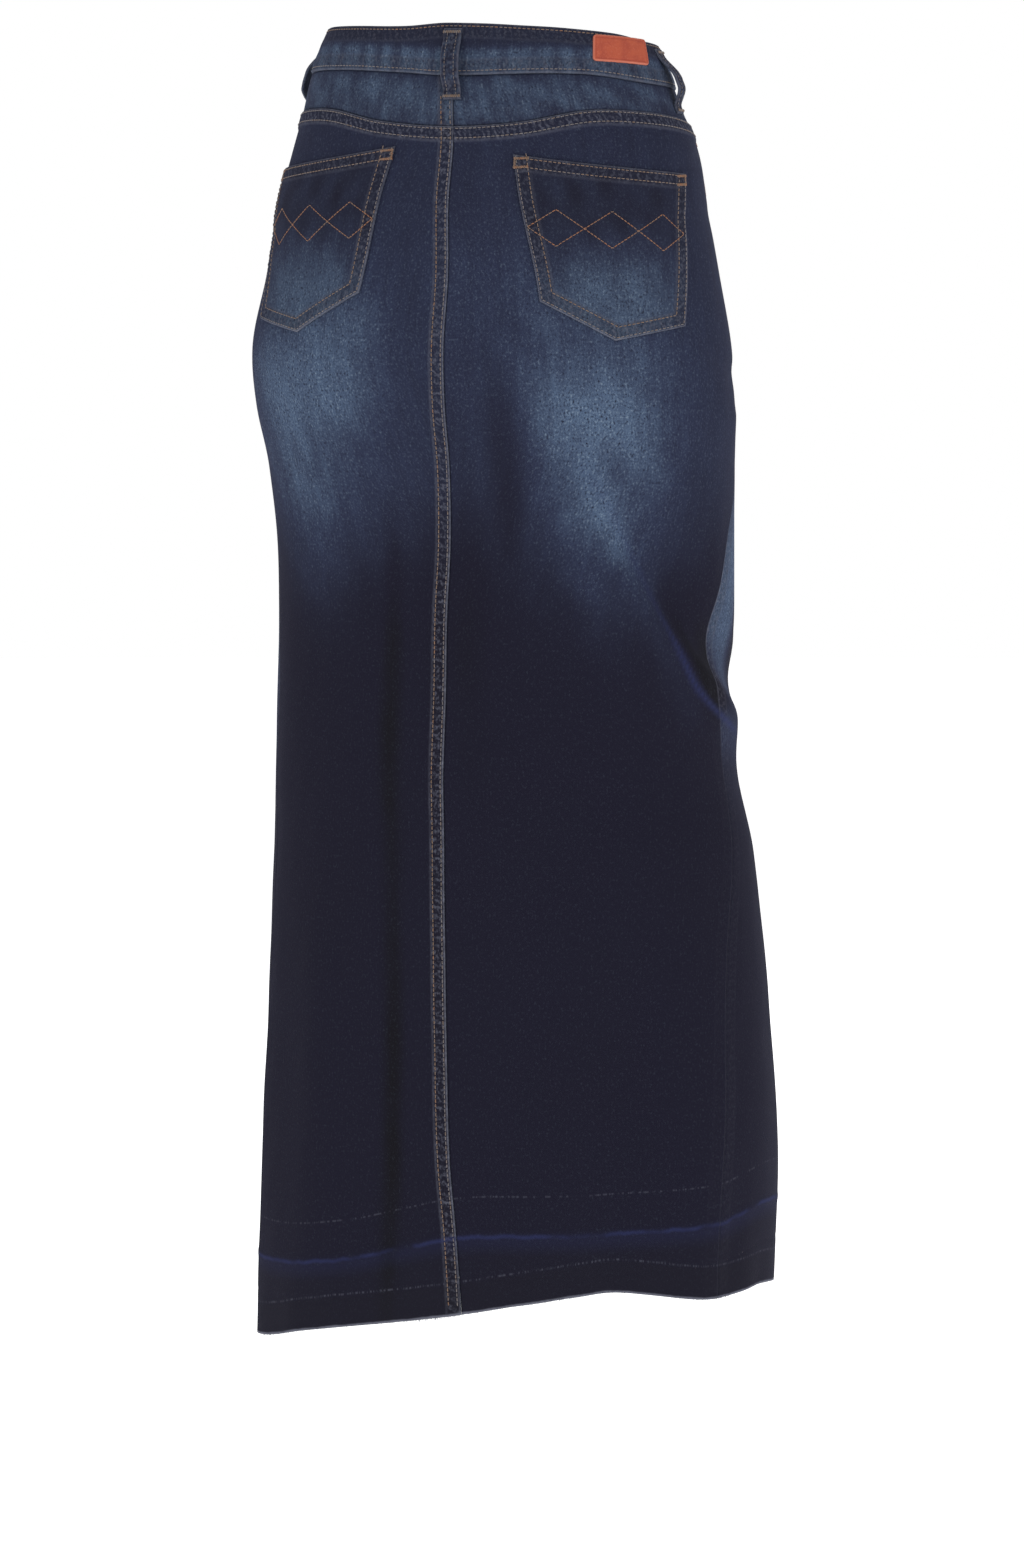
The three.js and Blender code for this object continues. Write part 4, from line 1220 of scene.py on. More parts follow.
@dataclass
class Stitching:
    """Many stitches in one piece, each a short bent capsule whose ends dip into the cloth.

    tones holds for each stitch how orange it is, from greyish tan at 0 to bright at 1.
    """

    name: str
    seed: int
    centres: list = field(default_factory=list)
    ways: list = field(default_factory=list)
    ups: list = field(default_factory=list)
    halves: list = field(default_factory=list)
    tones: list = field(default_factory=list)
    widths: list = field(default_factory=list)

    def row(self, angle: Number, drop: Number, height: Number, tone: float, pitch: float = STITCH_PITCH,
            length: float = STITCH_LENGTH, width: float = 1.0) -> None:
        """Sews a row along a line on the cloth.

        Args:
            angle: Angles of close points of the line.
            drop: Their drops.
            height: Height of the cloth's face there.
            tone: How orange the thread is.
            pitch: Distance from stitch to stitch.
            length: Length of the thread that shows.
            width: Thread's width as a share of the usual one.
        """
        angle, drop, height = (np.ravel(x) for x in np.broadcast_arrays(angle, drop, height))
        up = outward(angle, drop)
        points = place(angle, drop) + up * height[:, None]
        travel = np.concatenate([[0], np.cumsum(np.linalg.norm(np.diff(points, axis=0), axis=1))])
        count = max(1, int(travel[-1] / pitch))
        at = (np.arange(count) + 0.5) * travel[-1] / count

        def sample(values: Array, where: Array) -> Array:
            """Values along the line, one column at a time."""
            return np.stack([np.interp(where, travel, values[:, k]) for k in range(3)], axis=-1)

        rng = np.random.default_rng(self.seed + len(self.centres))
        way = unit(sample(points, at + pitch / 2) - sample(points, at - pitch / 2))
        normal = unit(sample(up, at))
        way = unit(way + np.cross(normal, way) * rng.normal(0, 0.045, (count, 1)))
        self.centres.append(sample(points, at))
        self.ways.append(way)
        self.ups.append(normal)
        self.halves.append(np.full(count, length / 2) * rng.uniform(0.93, 1.05, count))
        self.tones.append(np.clip(tone + rng.normal(0, 0.12, count), 0, 1))
        self.widths.append(np.full(count, width) * rng.uniform(0.92, 1.08, count))

    def tack(self, angle: float, drop: float, height: float, across: float, tall: float, slant: float,
             tone: float = 0.9) -> None:
        """Sews a bartack: close upright stitches side by side over a short line.

        Args:
            angle: Angle of its middle.
            drop: Drop of its middle.
            height: Height of the cloth's face.
            across: Its length.
            tall: Length of each stitch.
            slant: How far the line is turned, in degrees, from level.
            tone: How orange the thread is.
        """
        count = max(3, round(across / 0.75))
        shift = (np.arange(count) / (count - 1) - 0.5) * across
        out = shift * math.cos(slant * DEGREE)
        down = drop + shift * math.sin(slant * DEGREE)
        at = walk(angle, down, out)
        up = outward(at, down)
        points = place(at, down) + up * height
        along = unit(points[-1] - points[0])
        cross = unit(np.cross(up, along))
        rng = np.random.default_rng(self.seed + 97 + len(self.centres))
        zigzag = np.where(np.arange(count) % 2, 0.16, -0.16)[:, None]
        self.centres.append(points)
        self.ways.append(unit(cross + along * zigzag))
        self.ups.append(up)
        self.halves.append(np.full(count, tall / 2) * rng.uniform(0.92, 1.06, count))
        self.tones.append(np.clip(tone + rng.normal(0, 0.1, count), 0, 1))
        self.widths.append(np.full(count, 1.05))

    def build(self) -> bpy.types.Object:
        """Joins all the stitches: each point is its centre, moved along, across and up its stitch."""
        centre, way, up = (np.concatenate(x) for x in (self.centres, self.ways, self.ups))
        half, tone, width = (np.concatenate(x) for x in (self.halves, self.tones, self.widths))
        side = unit(np.cross(up, way))
        shape, faces = capsule()
        along, across, high = shape[:, 0], shape[:, 1], shape[:, 2]
        r = THREAD_RADIUS * width[:, None, None]
        points = centre[:, None] + way[:, None] * (half[:, None] * along)[..., None]
        points = points + side[:, None] * across[:, None] * r + up[:, None] * high[:, None] * r
        count = len(centre)
        all_faces = (faces[None] + np.arange(count)[:, None, None] * len(shape)).reshape(-1, 3)
        obj = make_mesh(self.name, points.reshape(-1, 3) * MM, all_faces)
        add_attribute(obj, "tone", np.repeat(tone, len(shape)))
        length = (along[None, :] + 2 * np.arange(count)[:, None]).reshape(-1)
        add_attribute(obj, "twist", np.repeat(half, len(shape)) * length)
        return obj


def line(start: float, end: float, step: float = 1.5) -> Array:
    """Close values from start to end."""
    return np.linspace(start, end, max(4, int(abs(end - start) / step)))


def sew_back() -> list[Stitching]:
    """Rows of the centre back seam and the yoke seam, two to each."""
    seam = Stitching("stitches_centre_back", 101)
    for out, tone in ((1.9, 0.08), (8.7, 0.5)):
        for top, bottom, height in ((35, 56.2, yoke_height), (57.6, 897, back_height)):
            drop = line(top, bottom)
            angle = walk(seam_back(drop), drop, out)
            seam.row(angle, drop, height(Side.LEFT, angle, drop), tone)
    yoke = Stitching("stitches_yoke", 102)
    for down, tone in ((1.9, 0.05), (8.7, 0.08)):
        for side, start, end in ((Side.RIGHT, -9.6, 86.8), (Side.LEFT, 88.0, 189.6)):
            angle = line(start, end, 0.5)
            drop = yoke_seam(angle) + down
            yoke.row(angle, drop, back_height(side, angle, drop), tone)
    return [seam, yoke]


def sew_hem() -> Stitching:
    """The row that once held the hem, in dark thread with a few pale stitches."""
    hem = Stitching("stitches_hem", 103)
    for start, end, height, side in (
        (22.5, 87.5, back_height, Side.RIGHT), (88.5, 160, back_height, Side.LEFT),
        (162, 269, front_height, Side.LEFT), (-89, 21, front_height, Side.RIGHT),
    ):
        angle = line(start, end, 0.5)
        drop = crease_edge(wrapped(angle)) + HEM_STITCH
        rise = height(side, angle, drop) + hem_relief(angle, drop) - 0.12
        hem.row(angle, drop, rise - 0.12, 0.0, pitch=4.2, length=2.0, width=0.55)
    return hem


LOZENGES = 3
LOZENGE_LEVEL = 126
LOZENGE_HALF = 13


def sew_pocket(pocket: PatchPocket) -> Stitching:
    """Rows of a back pocket: two round its turned edges, two along its top, tacks at its corners, and
    a plain band of lozenges made by two mirrored zigzag lines."""
    sewing = Stitching(f"stitches_pocket_{pocket.side.word}", 110 + pocket.side.value)
    corners = [pocket.top_inner, pocket.low_inner, pocket.point, pocket.low_outer, pocket.top_outer]
    corners = np.array(corners, dtype=float) + (0, pocket.slant)
    middle = corners.mean(axis=0)

    def along(points: Array, tone: float, pitch: float = STITCH_PITCH) -> None:
        """Sews one row along points of distance from the seam and drop."""
        travel = np.concatenate([[0], np.cumsum(np.linalg.norm(np.diff(points, axis=0), axis=1))])
        at = line(0, travel[-1], 1.2)
        out = np.interp(at, travel, points[:, 0])
        drop = np.interp(at, travel, points[:, 1])
        sewing.row(pocket.angle_at(out, drop), drop, pocket.height(out, drop), tone, pitch)

    for inset, tone in ((1.7, 0.06), (9.0, 0.35)):
        ways = unit(np.diff(corners, axis=0))
        normals = np.stack([ways[:, 1], -ways[:, 0]], axis=1)
        inward = np.sign(((middle - corners[:-1]) * normals).sum(axis=1))[:, None] * normals
        lines = [(corners[k] + inward[k] * inset, ways[k]) for k in range(4)]
        path = [lines[0][0] + lines[0][1] * 1.0]
        for (a, u), (b, w) in zip(lines[:-1], lines[1:]):
            reach = np.linalg.solve(np.stack([u, -w], axis=1), b - a)
            path.append(a + u * reach[0])
        path.append(lines[3][0] + lines[3][1] * (np.linalg.norm(corners[4] - corners[3]) - 1.0))
        for a, b in zip(path[:-1], path[1:]):
            share = line(0, 1, 0.1)
            along(np.stack([mix(a[0], b[0], share), mix(a[1], b[1], share)], axis=1), tone)
    for down, tone in ((2.0, 0.4), (8.2, 0.3)):
        share = np.linspace(0.012, 0.988, 60)
        out, drop = pocket.spot(share, 0)
        along(np.stack([out + 0.12 * down, drop + down], axis=1), tone)
    for share, sign in ((0.045, 1), (0.955, -1)):
        out, drop = pocket.spot(share, 0.0)
        for down in (2.0, 8.2):
            at = float(pocket.angle_at(out, drop + down))
            height = float(pocket.height(np.array(out), np.array(drop + down))) + 0.1
            sewing.tack(at, float(drop) + down, height, 10, 2.0, 3, 0.7)
        at = float(pocket.angle_at(out - 4.5 * sign, drop + 5))
        height = float(pocket.height(np.array(out - 4.5 * sign), np.array(drop + 5.0))) + 0.1
        sewing.tack(at, float(drop) + 5, height, 7, 1.9, 88, 0.6)
    left_end = pocket.spot(0.004, 0.42)[0] + 3.0
    right_end = pocket.spot(0.996, 0.42)[0] - 3.0
    share = np.linspace(0, 1, LOZENGES * 2 + 1)
    for way in (-1, 1):
        swing = np.where(np.arange(LOZENGES * 2 + 1) % 2, way, 0) * LOZENGE_HALF
        drop = LOZENGE_LEVEL + pocket.slant + 2 + swing + 4 * (share - 0.5)
        points = np.stack([mix(left_end, right_end, share), drop], axis=1)
        along(points, 0.8, 2.9)
    return sewing


def sew_band() -> Stitching:
    """The waistband's rows, near both edges all round."""
    band = Stitching("stitches_waistband", 120)
    angle = line(CENTRE_FRONT - TURN - OVERLAP_UNDER + 1.5, CENTRE_FRONT + OVERLAP_OVER - 1.0, 0.4)
    for drop in (band_edge(wrapped(angle)) - 2.7, top_edge(wrapped(angle)) + 2.4):
        band.row(angle, drop, band_height(angle, drop), 0.04 if drop.mean() > 0 else 0.5)
    drop = line(0, 1, 0.04)
    end = CENTRE_FRONT + OVERLAP_OVER - 1.4
    drop = mix(float(top_edge(wrapped(end))) + 3, float(band_edge(wrapped(end))) - 3, drop)
    band.row(end, drop, band_height(end + 0 * drop, drop), 0.3)
    return band


def sew_loops(loops: list[BeltLoop]) -> Stitching:
    """Each belt loop's two rows of fine stitches and a tack at each end."""
    sewing = Stitching("stitches_belt_loops", 130)
    for loop in loops:
        for out in (-3.3, 3.3):
            drop = line(loop.upper + 3, loop.lower - 2.5, 0.7)
            angle = walk(loop.angle, drop, out)
            sewing.row(angle, drop, loop.seat(drop) + LOOP_THICKNESS - 0.15, 0.05, 2.8, 2.1, 0.7)
        for drop in (loop.lower - 2.0, loop.upper + 2.6):
            height = float(loop.seat(drop)) + LOOP_THICKNESS + 0.12
            sewing.tack(loop.angle, drop, height, LOOP_WIDTH - 0.8, 2.1, 0, 0.25)
    return sewing


def sew_front() -> Stitching:
    """Rows of the hidden front: the centre seam, the fly's double curve and the pocket mouths."""
    sewing = Stitching("stitches_front", 140)
    for out, tone in ((1.9, 0.3), (8.7, 0.5)):
        drop = line(FLY_END + 6, 899)
        angle = walk(float(CENTRE_FRONT), drop, -out)
        sewing.row(angle, drop, front_height(Side.LEFT, angle, drop), tone)
    for inset in (2.5, 8.5):
        wide = FLY_WIDTH - inset
        straight = line(34, FLY_END - wide - 4)
        bend = line(0, math.pi / 2, 0.05)
        drop = np.concatenate([straight, FLY_END - wide - 4 + (wide - inset) * np.sin(bend)])
        out = np.concatenate([np.full(len(straight), wide), wide * np.cos(bend) + 2 * (1 - np.cos(bend))])
        angle = walk(float(CENTRE_FRONT), drop, -out)
        sewing.row(angle, drop, front_height(Side.LEFT, angle, drop), 0.45)
    angle = float(walk(float(CENTRE_FRONT), FLY_END - 8.0, -4.0))
    sewing.tack(angle, FLY_END - 8.0, float(front_height(Side.LEFT, angle, FLY_END - 8.0)) + 0.15, 9, 2.2, 90)
    for side in Side:
        for inset, tone in ((2.0, 0.35), (8.0, 0.35)):
            swing = np.linspace(0.06, 1, 60) * math.pi / 2
            down = (SCOOP_DOWN + inset) * np.sin(swing)
            seam = side.seam
            level = band_edge(wrapped(seam(0))) + SEAM_GAP + down
            out = (SCOOP_ACROSS + inset) * np.cos(swing) + 1
            angle = walk(seam(level), level, side.value * out)
            drop = band_edge(wrapped(angle)) + SEAM_GAP + down
            sewing.row(angle, drop, front_height(side, angle, drop), tone)
        for drop in (64.0, 99.0):
            angle = float(walk(float(side.seam(drop)), drop, side.value * 4.0))
            sewing.tack(angle, drop, float(front_height(side, angle, drop)) + 0.1, 8, 2, 90)
    return sewing


def ring_faces(index: Array) -> Array:
    """Triangles between neighbouring closed rings, from the numbers of their points, a row to a ring."""
    after = np.roll(index, -1, axis=-1)
    corners = [index[..., :-1, :], after[..., :-1, :], after[..., 1:, :], index[..., 1:, :]]
    quads = np.stack(corners, axis=-1).reshape(-1, 4)
    return np.concatenate([quads[:, [0, 1, 2]], quads[:, [0, 2, 3]]])


@dataclass
class HemFringe:
    """Pale lint along the raw hem: short loose threads, thicker in a few places."""

    count: int = 1500
    sides: int = 3
    points_each: int = 4
    thick: tuple = (
        (97, 14, 1.0), (24, 6, 0.9), (60, 12, 0.5), (150, 10, 0.4), (236, 20, 0.7), (-40, 24, 0.7),
    )

    def build(self) -> bpy.types.Object:
        """Makes each thread a thin tube along a short curve that hangs from the edge and drifts sideways."""
        rng = np.random.default_rng(150)
        angle = rng.uniform(-90, 270, self.count)
        amount = 0.25 + sum(k * bump(turn(angle - at) / reach) for at, reach, k in self.thick)
        length = rng.uniform(0.8, 3.2, self.count) * np.clip(amount, 0.3, 1.2)
        drift = rng.normal(0, 1.1, self.count)
        lean = rng.normal(0, 0.7, self.count)
        edge = hem_edge(wrapped(angle))
        height = drape(angle, edge) - rng.uniform(0.2, 1.2, self.count)
        root = place(angle, edge) + outward(angle, edge) * height[:, None]
        around = unit(place(angle + 1, edge) - place(angle - 1, edge))
        out = outward(angle, edge)
        down = np.array([0.0, 0.0, -1.0])
        t = np.linspace(0, 1, self.points_each)[None, :, None]
        path = (
            root[:, None] + np.array([0.0, 0.0, 0.5])
            + down * length[:, None, None] * (t - 0.25 * t * t)
            + around[:, None] * drift[:, None, None] * t * t
            + out[:, None] * lean[:, None, None] * t * t
        )
        turns = np.arange(self.sides) / self.sides * 2 * math.pi
        thin = 0.17 * (1 - 0.6 * t)
        ring = (np.cos(turns)[:, None] * around[:, None, None] + np.sin(turns)[:, None] * out[:, None, None])
        points = path[:, :, None] + ring * thin[..., None]
        n, p, k = self.count, self.points_each, self.sides
        index = np.arange(n * p * k).reshape(n, p, k)
        caps = np.concatenate([index[:, 0, ::-1], index[:, -1]])
        obj = make_mesh("hem_lint", points.reshape(-1, 3) * MM, np.concatenate([ring_faces(index), caps]))
        add_attribute(obj, "tone", np.repeat(rng.uniform(0, 1, n), p * k))
        return obj


BUTTON_DROP = 13.5
ZIP_HALF = 14
ZIP_END = 172
ZIP_THICKNESS = 1.2
SLIDER_DROP = 42
SLIDER_HEIGHT = 11


@dataclass
class ShankButton:
    """The plain shank button: a disc with a rolled rim, a sunk ring and a small dome."""

    turns: int = 72
    profile: tuple = (
        (0, 0), (5.6, 0), (5.9, 0.2), (6.0, 1.2), (7.6, 1.4), (8.3, 1.7), (8.5, 2.3), (8.3, 2.9), (7.8, 3.3),
        (7.2, 3.4), (6.7, 3.25), (6.3, 2.95), (5.9, 2.8), (5.2, 2.8), (4.8, 3.0), (4.4, 2.8), (3.2, 2.8),
        (2.6, 3.1), (1.6, 3.35), (0, 3.4),
    )

    def build(self) -> bpy.types.Object:
        """Turns the profile round the outward direction at the button's place."""
        profile = np.array(self.profile, dtype=float)
        turns = np.arange(self.turns) / self.turns * 2 * math.pi
        up = outward(float(CENTRE_FRONT), BUTTON_DROP)
        side = unit(np.cross(up, (0.0, 0.0, 1.0)))
        other = np.cross(up, side)
        centre = place(float(CENTRE_FRONT), BUTTON_DROP) + up * (WAISTBAND_FACE + LIFT + SEAM_GAP + 0.25)
        ring = np.cos(turns)[:, None] * side + np.sin(turns)[:, None] * other
        points = centre + profile[1:-1, None, None, 0] * ring + profile[1:-1, None, None, 1] * up
        rings = len(profile) - 2
        index = np.arange(rings * self.turns).reshape(rings, self.turns)
        low, high = rings * self.turns, rings * self.turns + 1
        first, last = index[0], index[-1]
        fan_low = np.stack([np.full(self.turns, low), np.roll(first, -1), first], axis=-1)
        fan_high = np.stack([np.full(self.turns, high), last, np.roll(last, -1)], axis=-1)
        ends = np.stack([centre + profile[0, 1] * up, centre + profile[-1, 1] * up])
        points = np.concatenate([points.reshape(-1, 3), ends])
        faces = np.concatenate([ring_faces(index), fan_low, fan_high])
        obj = make_mesh("shank_button_plain", points * MM, faces)
        point_outward(obj)
        return obj


def point_outward(obj: bpy.types.Object) -> None:
    """Turns the faces of a closed shape outwards."""
    work = bmesh.new()
    work.from_mesh(obj.data)
    bmesh.ops.recalc_face_normals(work, faces=work.faces)
    work.to_mesh(obj.data)
    work.free()


def blocks(name: str, centres: Array, along: Array, side: Array, up: Array, size: tuple) -> bpy.types.Object:
    """Many small blocks with bevelled tops, joined in one piece.

    Args:
        name: The object's name.
        centres: Middle of each block.
        along, side, up: Its three directions.
        size: Half sizes along them.

    Returns:
        The object.
    """
    x, y, z = size
    inset = 0.72
    shape = np.array([
        (-x, -y, -z), (x, -y, -z), (x, y, -z), (-x, y, -z), (-x, -y, z * 0.4), (x, -y, z * 0.4),
        (x, y, z * 0.4), (-x, y, z * 0.4), (-x * inset, -y * inset, z), (x * inset, -y * inset, z),
        (x * inset, y * inset, z), (-x * inset, y * inset, z),
    ])
    faces = [(0, 3, 2, 1), (8, 9, 10, 11)]
    for base in (0, 4):
        for k in range(4):
            faces.append((base + k, base + (k + 1) % 4, base + 4 + (k + 1) % 4, base + 4 + k))
    points = (
        centres[:, None] + along[:, None] * shape[None, :, 0, None]
        + side[:, None] * shape[None, :, 1, None] + up[:, None] * shape[None, :, 2, None]
    )
    everywhere = np.array(faces)[None] + np.arange(len(centres))[:, None, None] * len(shape)
    obj = make_mesh(name, points.reshape(-1, 3) * MM, everywhere.reshape(-1, 4), smooth_faces=False)
    point_outward(obj)
    return obj


@dataclass
class Zip:
    """The closed zip behind the fly: woven tape, two rows of teeth and the slider with its pull."""

    tooth_pitch: float = 2.1

    def tape(self) -> bpy.types.Object:
        """The two tapes as one strip, a little thinner along its middle."""
        across = np.linspace(-ZIP_HALF, ZIP_HALF, 29)[None, :]
        drop = np.linspace(float(band_edge(270)) + 2, ZIP_END, 90)[:, None]
        angle = walk(float(CENTRE_FRONT), drop, across)
        drop = np.broadcast_to(drop, angle.shape)
        face = -CLOTH - SEAM_GAP - 0.1
        cord = 0.3 * bump((np.abs(across) - 2.5) / 1.2)
        return Grid("zip_tape", angle, drop, face + 0 * drop, face - ZIP_THICKNESS + 0.3 - cord + 0 * drop,
                    0 * drop, edge_sink=0.1).build()

    def teeth(self) -> bpy.types.Object:
        """Teeth of both tapes in turn down the middle, on the inner face of the tape."""
        drop = np.arange(float(band_edge(270)) + 6, ZIP_END - 6, self.tooth_pitch / 2)
        drop = drop[(drop < SLIDER_DROP - 1) | (drop > SLIDER_DROP + SLIDER_HEIGHT + 1)]
        out = np.where(np.arange(len(drop)) % 2, 1.0, -1.0)
        angle = walk(float(CENTRE_FRONT), drop, out)
        up = outward(angle, drop)
        centres = place(angle, drop) + up * (-CLOTH - SEAM_GAP - ZIP_THICKNESS - 0.35)
        side = unit(np.cross(up, (0.0, 0.0, 1.0)))
        return blocks("zip_teeth", centres, np.cross(side, up), side, -up, (0.42, 1.5, 0.45))

    def slider(self) -> bpy.types.Object:
        """The slider's body and its short pull, hanging down behind the tape."""
        drops = np.array([SLIDER_DROP + 5.5, SLIDER_DROP + 5.0, SLIDER_DROP + 12.0])
        lift = np.array([1.0, 2.2, 2.4])
        up = outward(np.full(3, float(CENTRE_FRONT)), drops)
        back = -CLOTH - SEAM_GAP - ZIP_THICKNESS - SEAM_GAP
        centres = place(np.full(3, float(CENTRE_FRONT)), drops) + up * (back - lift)[:, None]
        side = unit(np.cross(up, (0.0, 0.0, 1.0)))
        sizes = ((5.2, 4.2, 0.95), (2.4, 1.1, 0.5), (7.5, 2.1, 0.45))
        parts = [
            blocks(f"zip_slider_{k}", centres[k : k + 1], np.cross(side, up)[k : k + 1], side[k : k + 1],
                   -up[k : k + 1], sizes[k])
            for k in range(3)
        ]
        return join("zip_slider_and_pull", parts)


def join(name: str, parts: list[bpy.types.Object]) -> bpy.types.Object:
    """Joins objects at the origin into one, faces and points only."""
    points, faces, start = [], [], 0
    for part in parts:
        mesh = part.data
        points += [tuple(v.co) for v in mesh.vertices]
        faces += [tuple(start + v for v in face.vertices) for face in mesh.polygons]
        start += len(mesh.vertices)
        bpy.data.objects.remove(part)
        bpy.data.meshes.remove(mesh)
    mesh = bpy.data.meshes.new(name)
    mesh.from_pydata(points, [], faces)
    return add_object(name, mesh)


Value = Union["Link", float, int]


class Link:
    """A shader socket that can be used in expressions. Each operator adds one Math node."""

    def __init__(self, paint: "Paint", socket: bpy.types.NodeSocket) -> None:
        """Wraps a socket of a material's node tree."""
        self.paint = paint
        self.socket = socket

    def __add__(self, other: Value) -> "Link":
        """This value and the other, added."""
        return self.paint.math("ADD", self, other)

    def __mul__(self, other: Value) -> "Link":
        """This value times the other."""
        return self.paint.math("MULTIPLY", self, other)

    def __sub__(self, other: Value) -> "Link":
        """This value less the other."""
        return self.paint.math("SUBTRACT", self, other)

    def __rsub__(self, other: Value) -> "Link":
        """The other value less this one."""
        return self.paint.math("SUBTRACT", other, self)

    __radd__ = __add__
    __rmul__ = __mul__


class Paint:
    """One material under construction, with short ways to add nodes."""

    def __init__(self, name: str) -> None:
        """Makes a material with an empty node tree and its output and shader.

        Args:
            name: The material's name.
        """
        self.material = bpy.data.materials.new(name)
        self.material.use_nodes = True
        self.tree = self.material.node_tree
        self.tree.nodes.clear()
        self.output = self.tree.nodes.new("ShaderNodeOutputMaterial")
        self.shader = self.tree.nodes.new("ShaderNodeBsdfPrincipled")
        self.tree.links.new(self.shader.outputs[0], self.output.inputs["Surface"])

    def node(self, kind: str, settings: Optional[dict] = None, out: Union[int, str] = 0,
             **inputs: object) -> Link:
        """Adds a node.

        Args:
            kind: Its type, without the word ShaderNode.
            settings: Its settings, set first.
            out: Which output is given back.
            inputs: Values or links of its sockets, by name with _ for a space, or i0, i1 by place.

        Returns:
            The chosen output.
        """
        node = self.tree.nodes.new("ShaderNode" + kind)
        for key, value in (settings or {}).items():
            setattr(node, key, value)
        for key, value in inputs.items():
            if value is None:
                continue
            socket = node.inputs[int(key[1:])] if key[1:].isdigit() else node.inputs[key.replace("_", " ")]
            if isinstance(value, Link):
                self.tree.links.new(value.socket, socket)
            else:
                socket.default_value = value
        return Link(self, node.outputs[out])

    def math(self, operation: str, a: Value, b: Value = 0.0, c: Value = 0.0) -> Link:
        """Adds a Math node."""
        return self.node("Math", {"operation": operation}, i0=a, i1=b, i2=c)

    def clamp(self, value: Value, low: float = 0.0, high: float = 1.0) -> Link:
        """Holds a value between two numbers."""
        return self.math("MINIMUM", self.math("MAXIMUM", value, low), high)

    def ramp(self, value: Value, low: float, high: float) -> Link:
        """Soft step from 0 at low to 1 at high."""
        settings = {"interpolation_type": "SMOOTHSTEP"}
        return self.node("MapRange", settings, Value=value, From_Min=low, From_Max=high)

    def band(self, value: Value, middle: float, reach: float) -> Link:
        """1 at a middle value, falling softly to 0 at a reach on both sides."""
        return 1 - self.ramp(self.math("ABSOLUTE", self.math("SUBTRACT", value, middle)), 0.0, reach)

    def blend(self, amount: Value, a: object, b: object, kind: str = "MIX") -> Link:
        """Mixes two colours, each a tuple or a link."""
        settings = {"data_type": "RGBA", "blend_type": kind}
        return self.node("Mix", settings, out=2, i0=amount, i6=a, i7=b)

    def mark(self, name: str) -> Link:
        """A number kept on the mesh's points."""
        return self.node("Attribute", {"attribute_name": name}, out="Fac")

    def marks(self, name: str) -> tuple[Link, Link, Link]:
        """Three numbers kept on the mesh's points."""
        vector = self.node("Attribute", {"attribute_name": name}, out="Vector")
        return tuple(self.node("SeparateXYZ", out=k, Vector=vector) for k in range(3))

    def noise(self, vector: Link, scale: tuple, detail: float = 2.0, rough: float = 0.5) -> Link:
        """Noise between 0 and 1 on a vector stretched by three scales."""
        stretched = self.node("VectorMath", {"operation": "MULTIPLY"}, i0=vector, i1=scale)
        settings = {"noise_dimensions": "3D"}
        return self.node("TexNoise", settings, Vector=stretched, Scale=1.0, Detail=detail, Roughness=rough)

    def finish(self, colour: Union[Link, tuple], roughness: Value, height: Optional[Link] = None,
               depth: float = 0.0003, **constants: object) -> bpy.types.Material:
        """Joins the parts to the shader.

        Args:
            colour: Base colour.
            roughness: Roughness.
            height: Height of the fine relief, from 0 to 1.
            depth: What a height of 1 means, in metres.
            constants: Other sockets of the shader that are the same all over.

        Returns:
            The material.
        """
        for key, value in (("Base Color", colour), ("Roughness", roughness)):
            if isinstance(value, Link):
                self.tree.links.new(value.socket, self.shader.inputs[key])
            else:
                self.shader.inputs[key].default_value = value
        if height is not None:
            normal = self.node("Bump", Strength=1.0, Distance=depth, Height=height)
            self.tree.links.new(normal.socket, self.shader.inputs["Normal"])
        for key, value in constants.items():
            self.shader.inputs[key.replace("_", " ")].default_value = value
        return self.material


def srgb(red: int, green: int, blue: int) -> tuple[float, float, float, float]:
    """A colour from 0 to 255 a channel, turned into linear light."""
    channels = (c / 255 for c in (red, green, blue))
    return (*(c / 12.92 if c <= 0.04045 else ((c + 0.055) / 1.055) ** 2.4 for c in channels), 1.0)


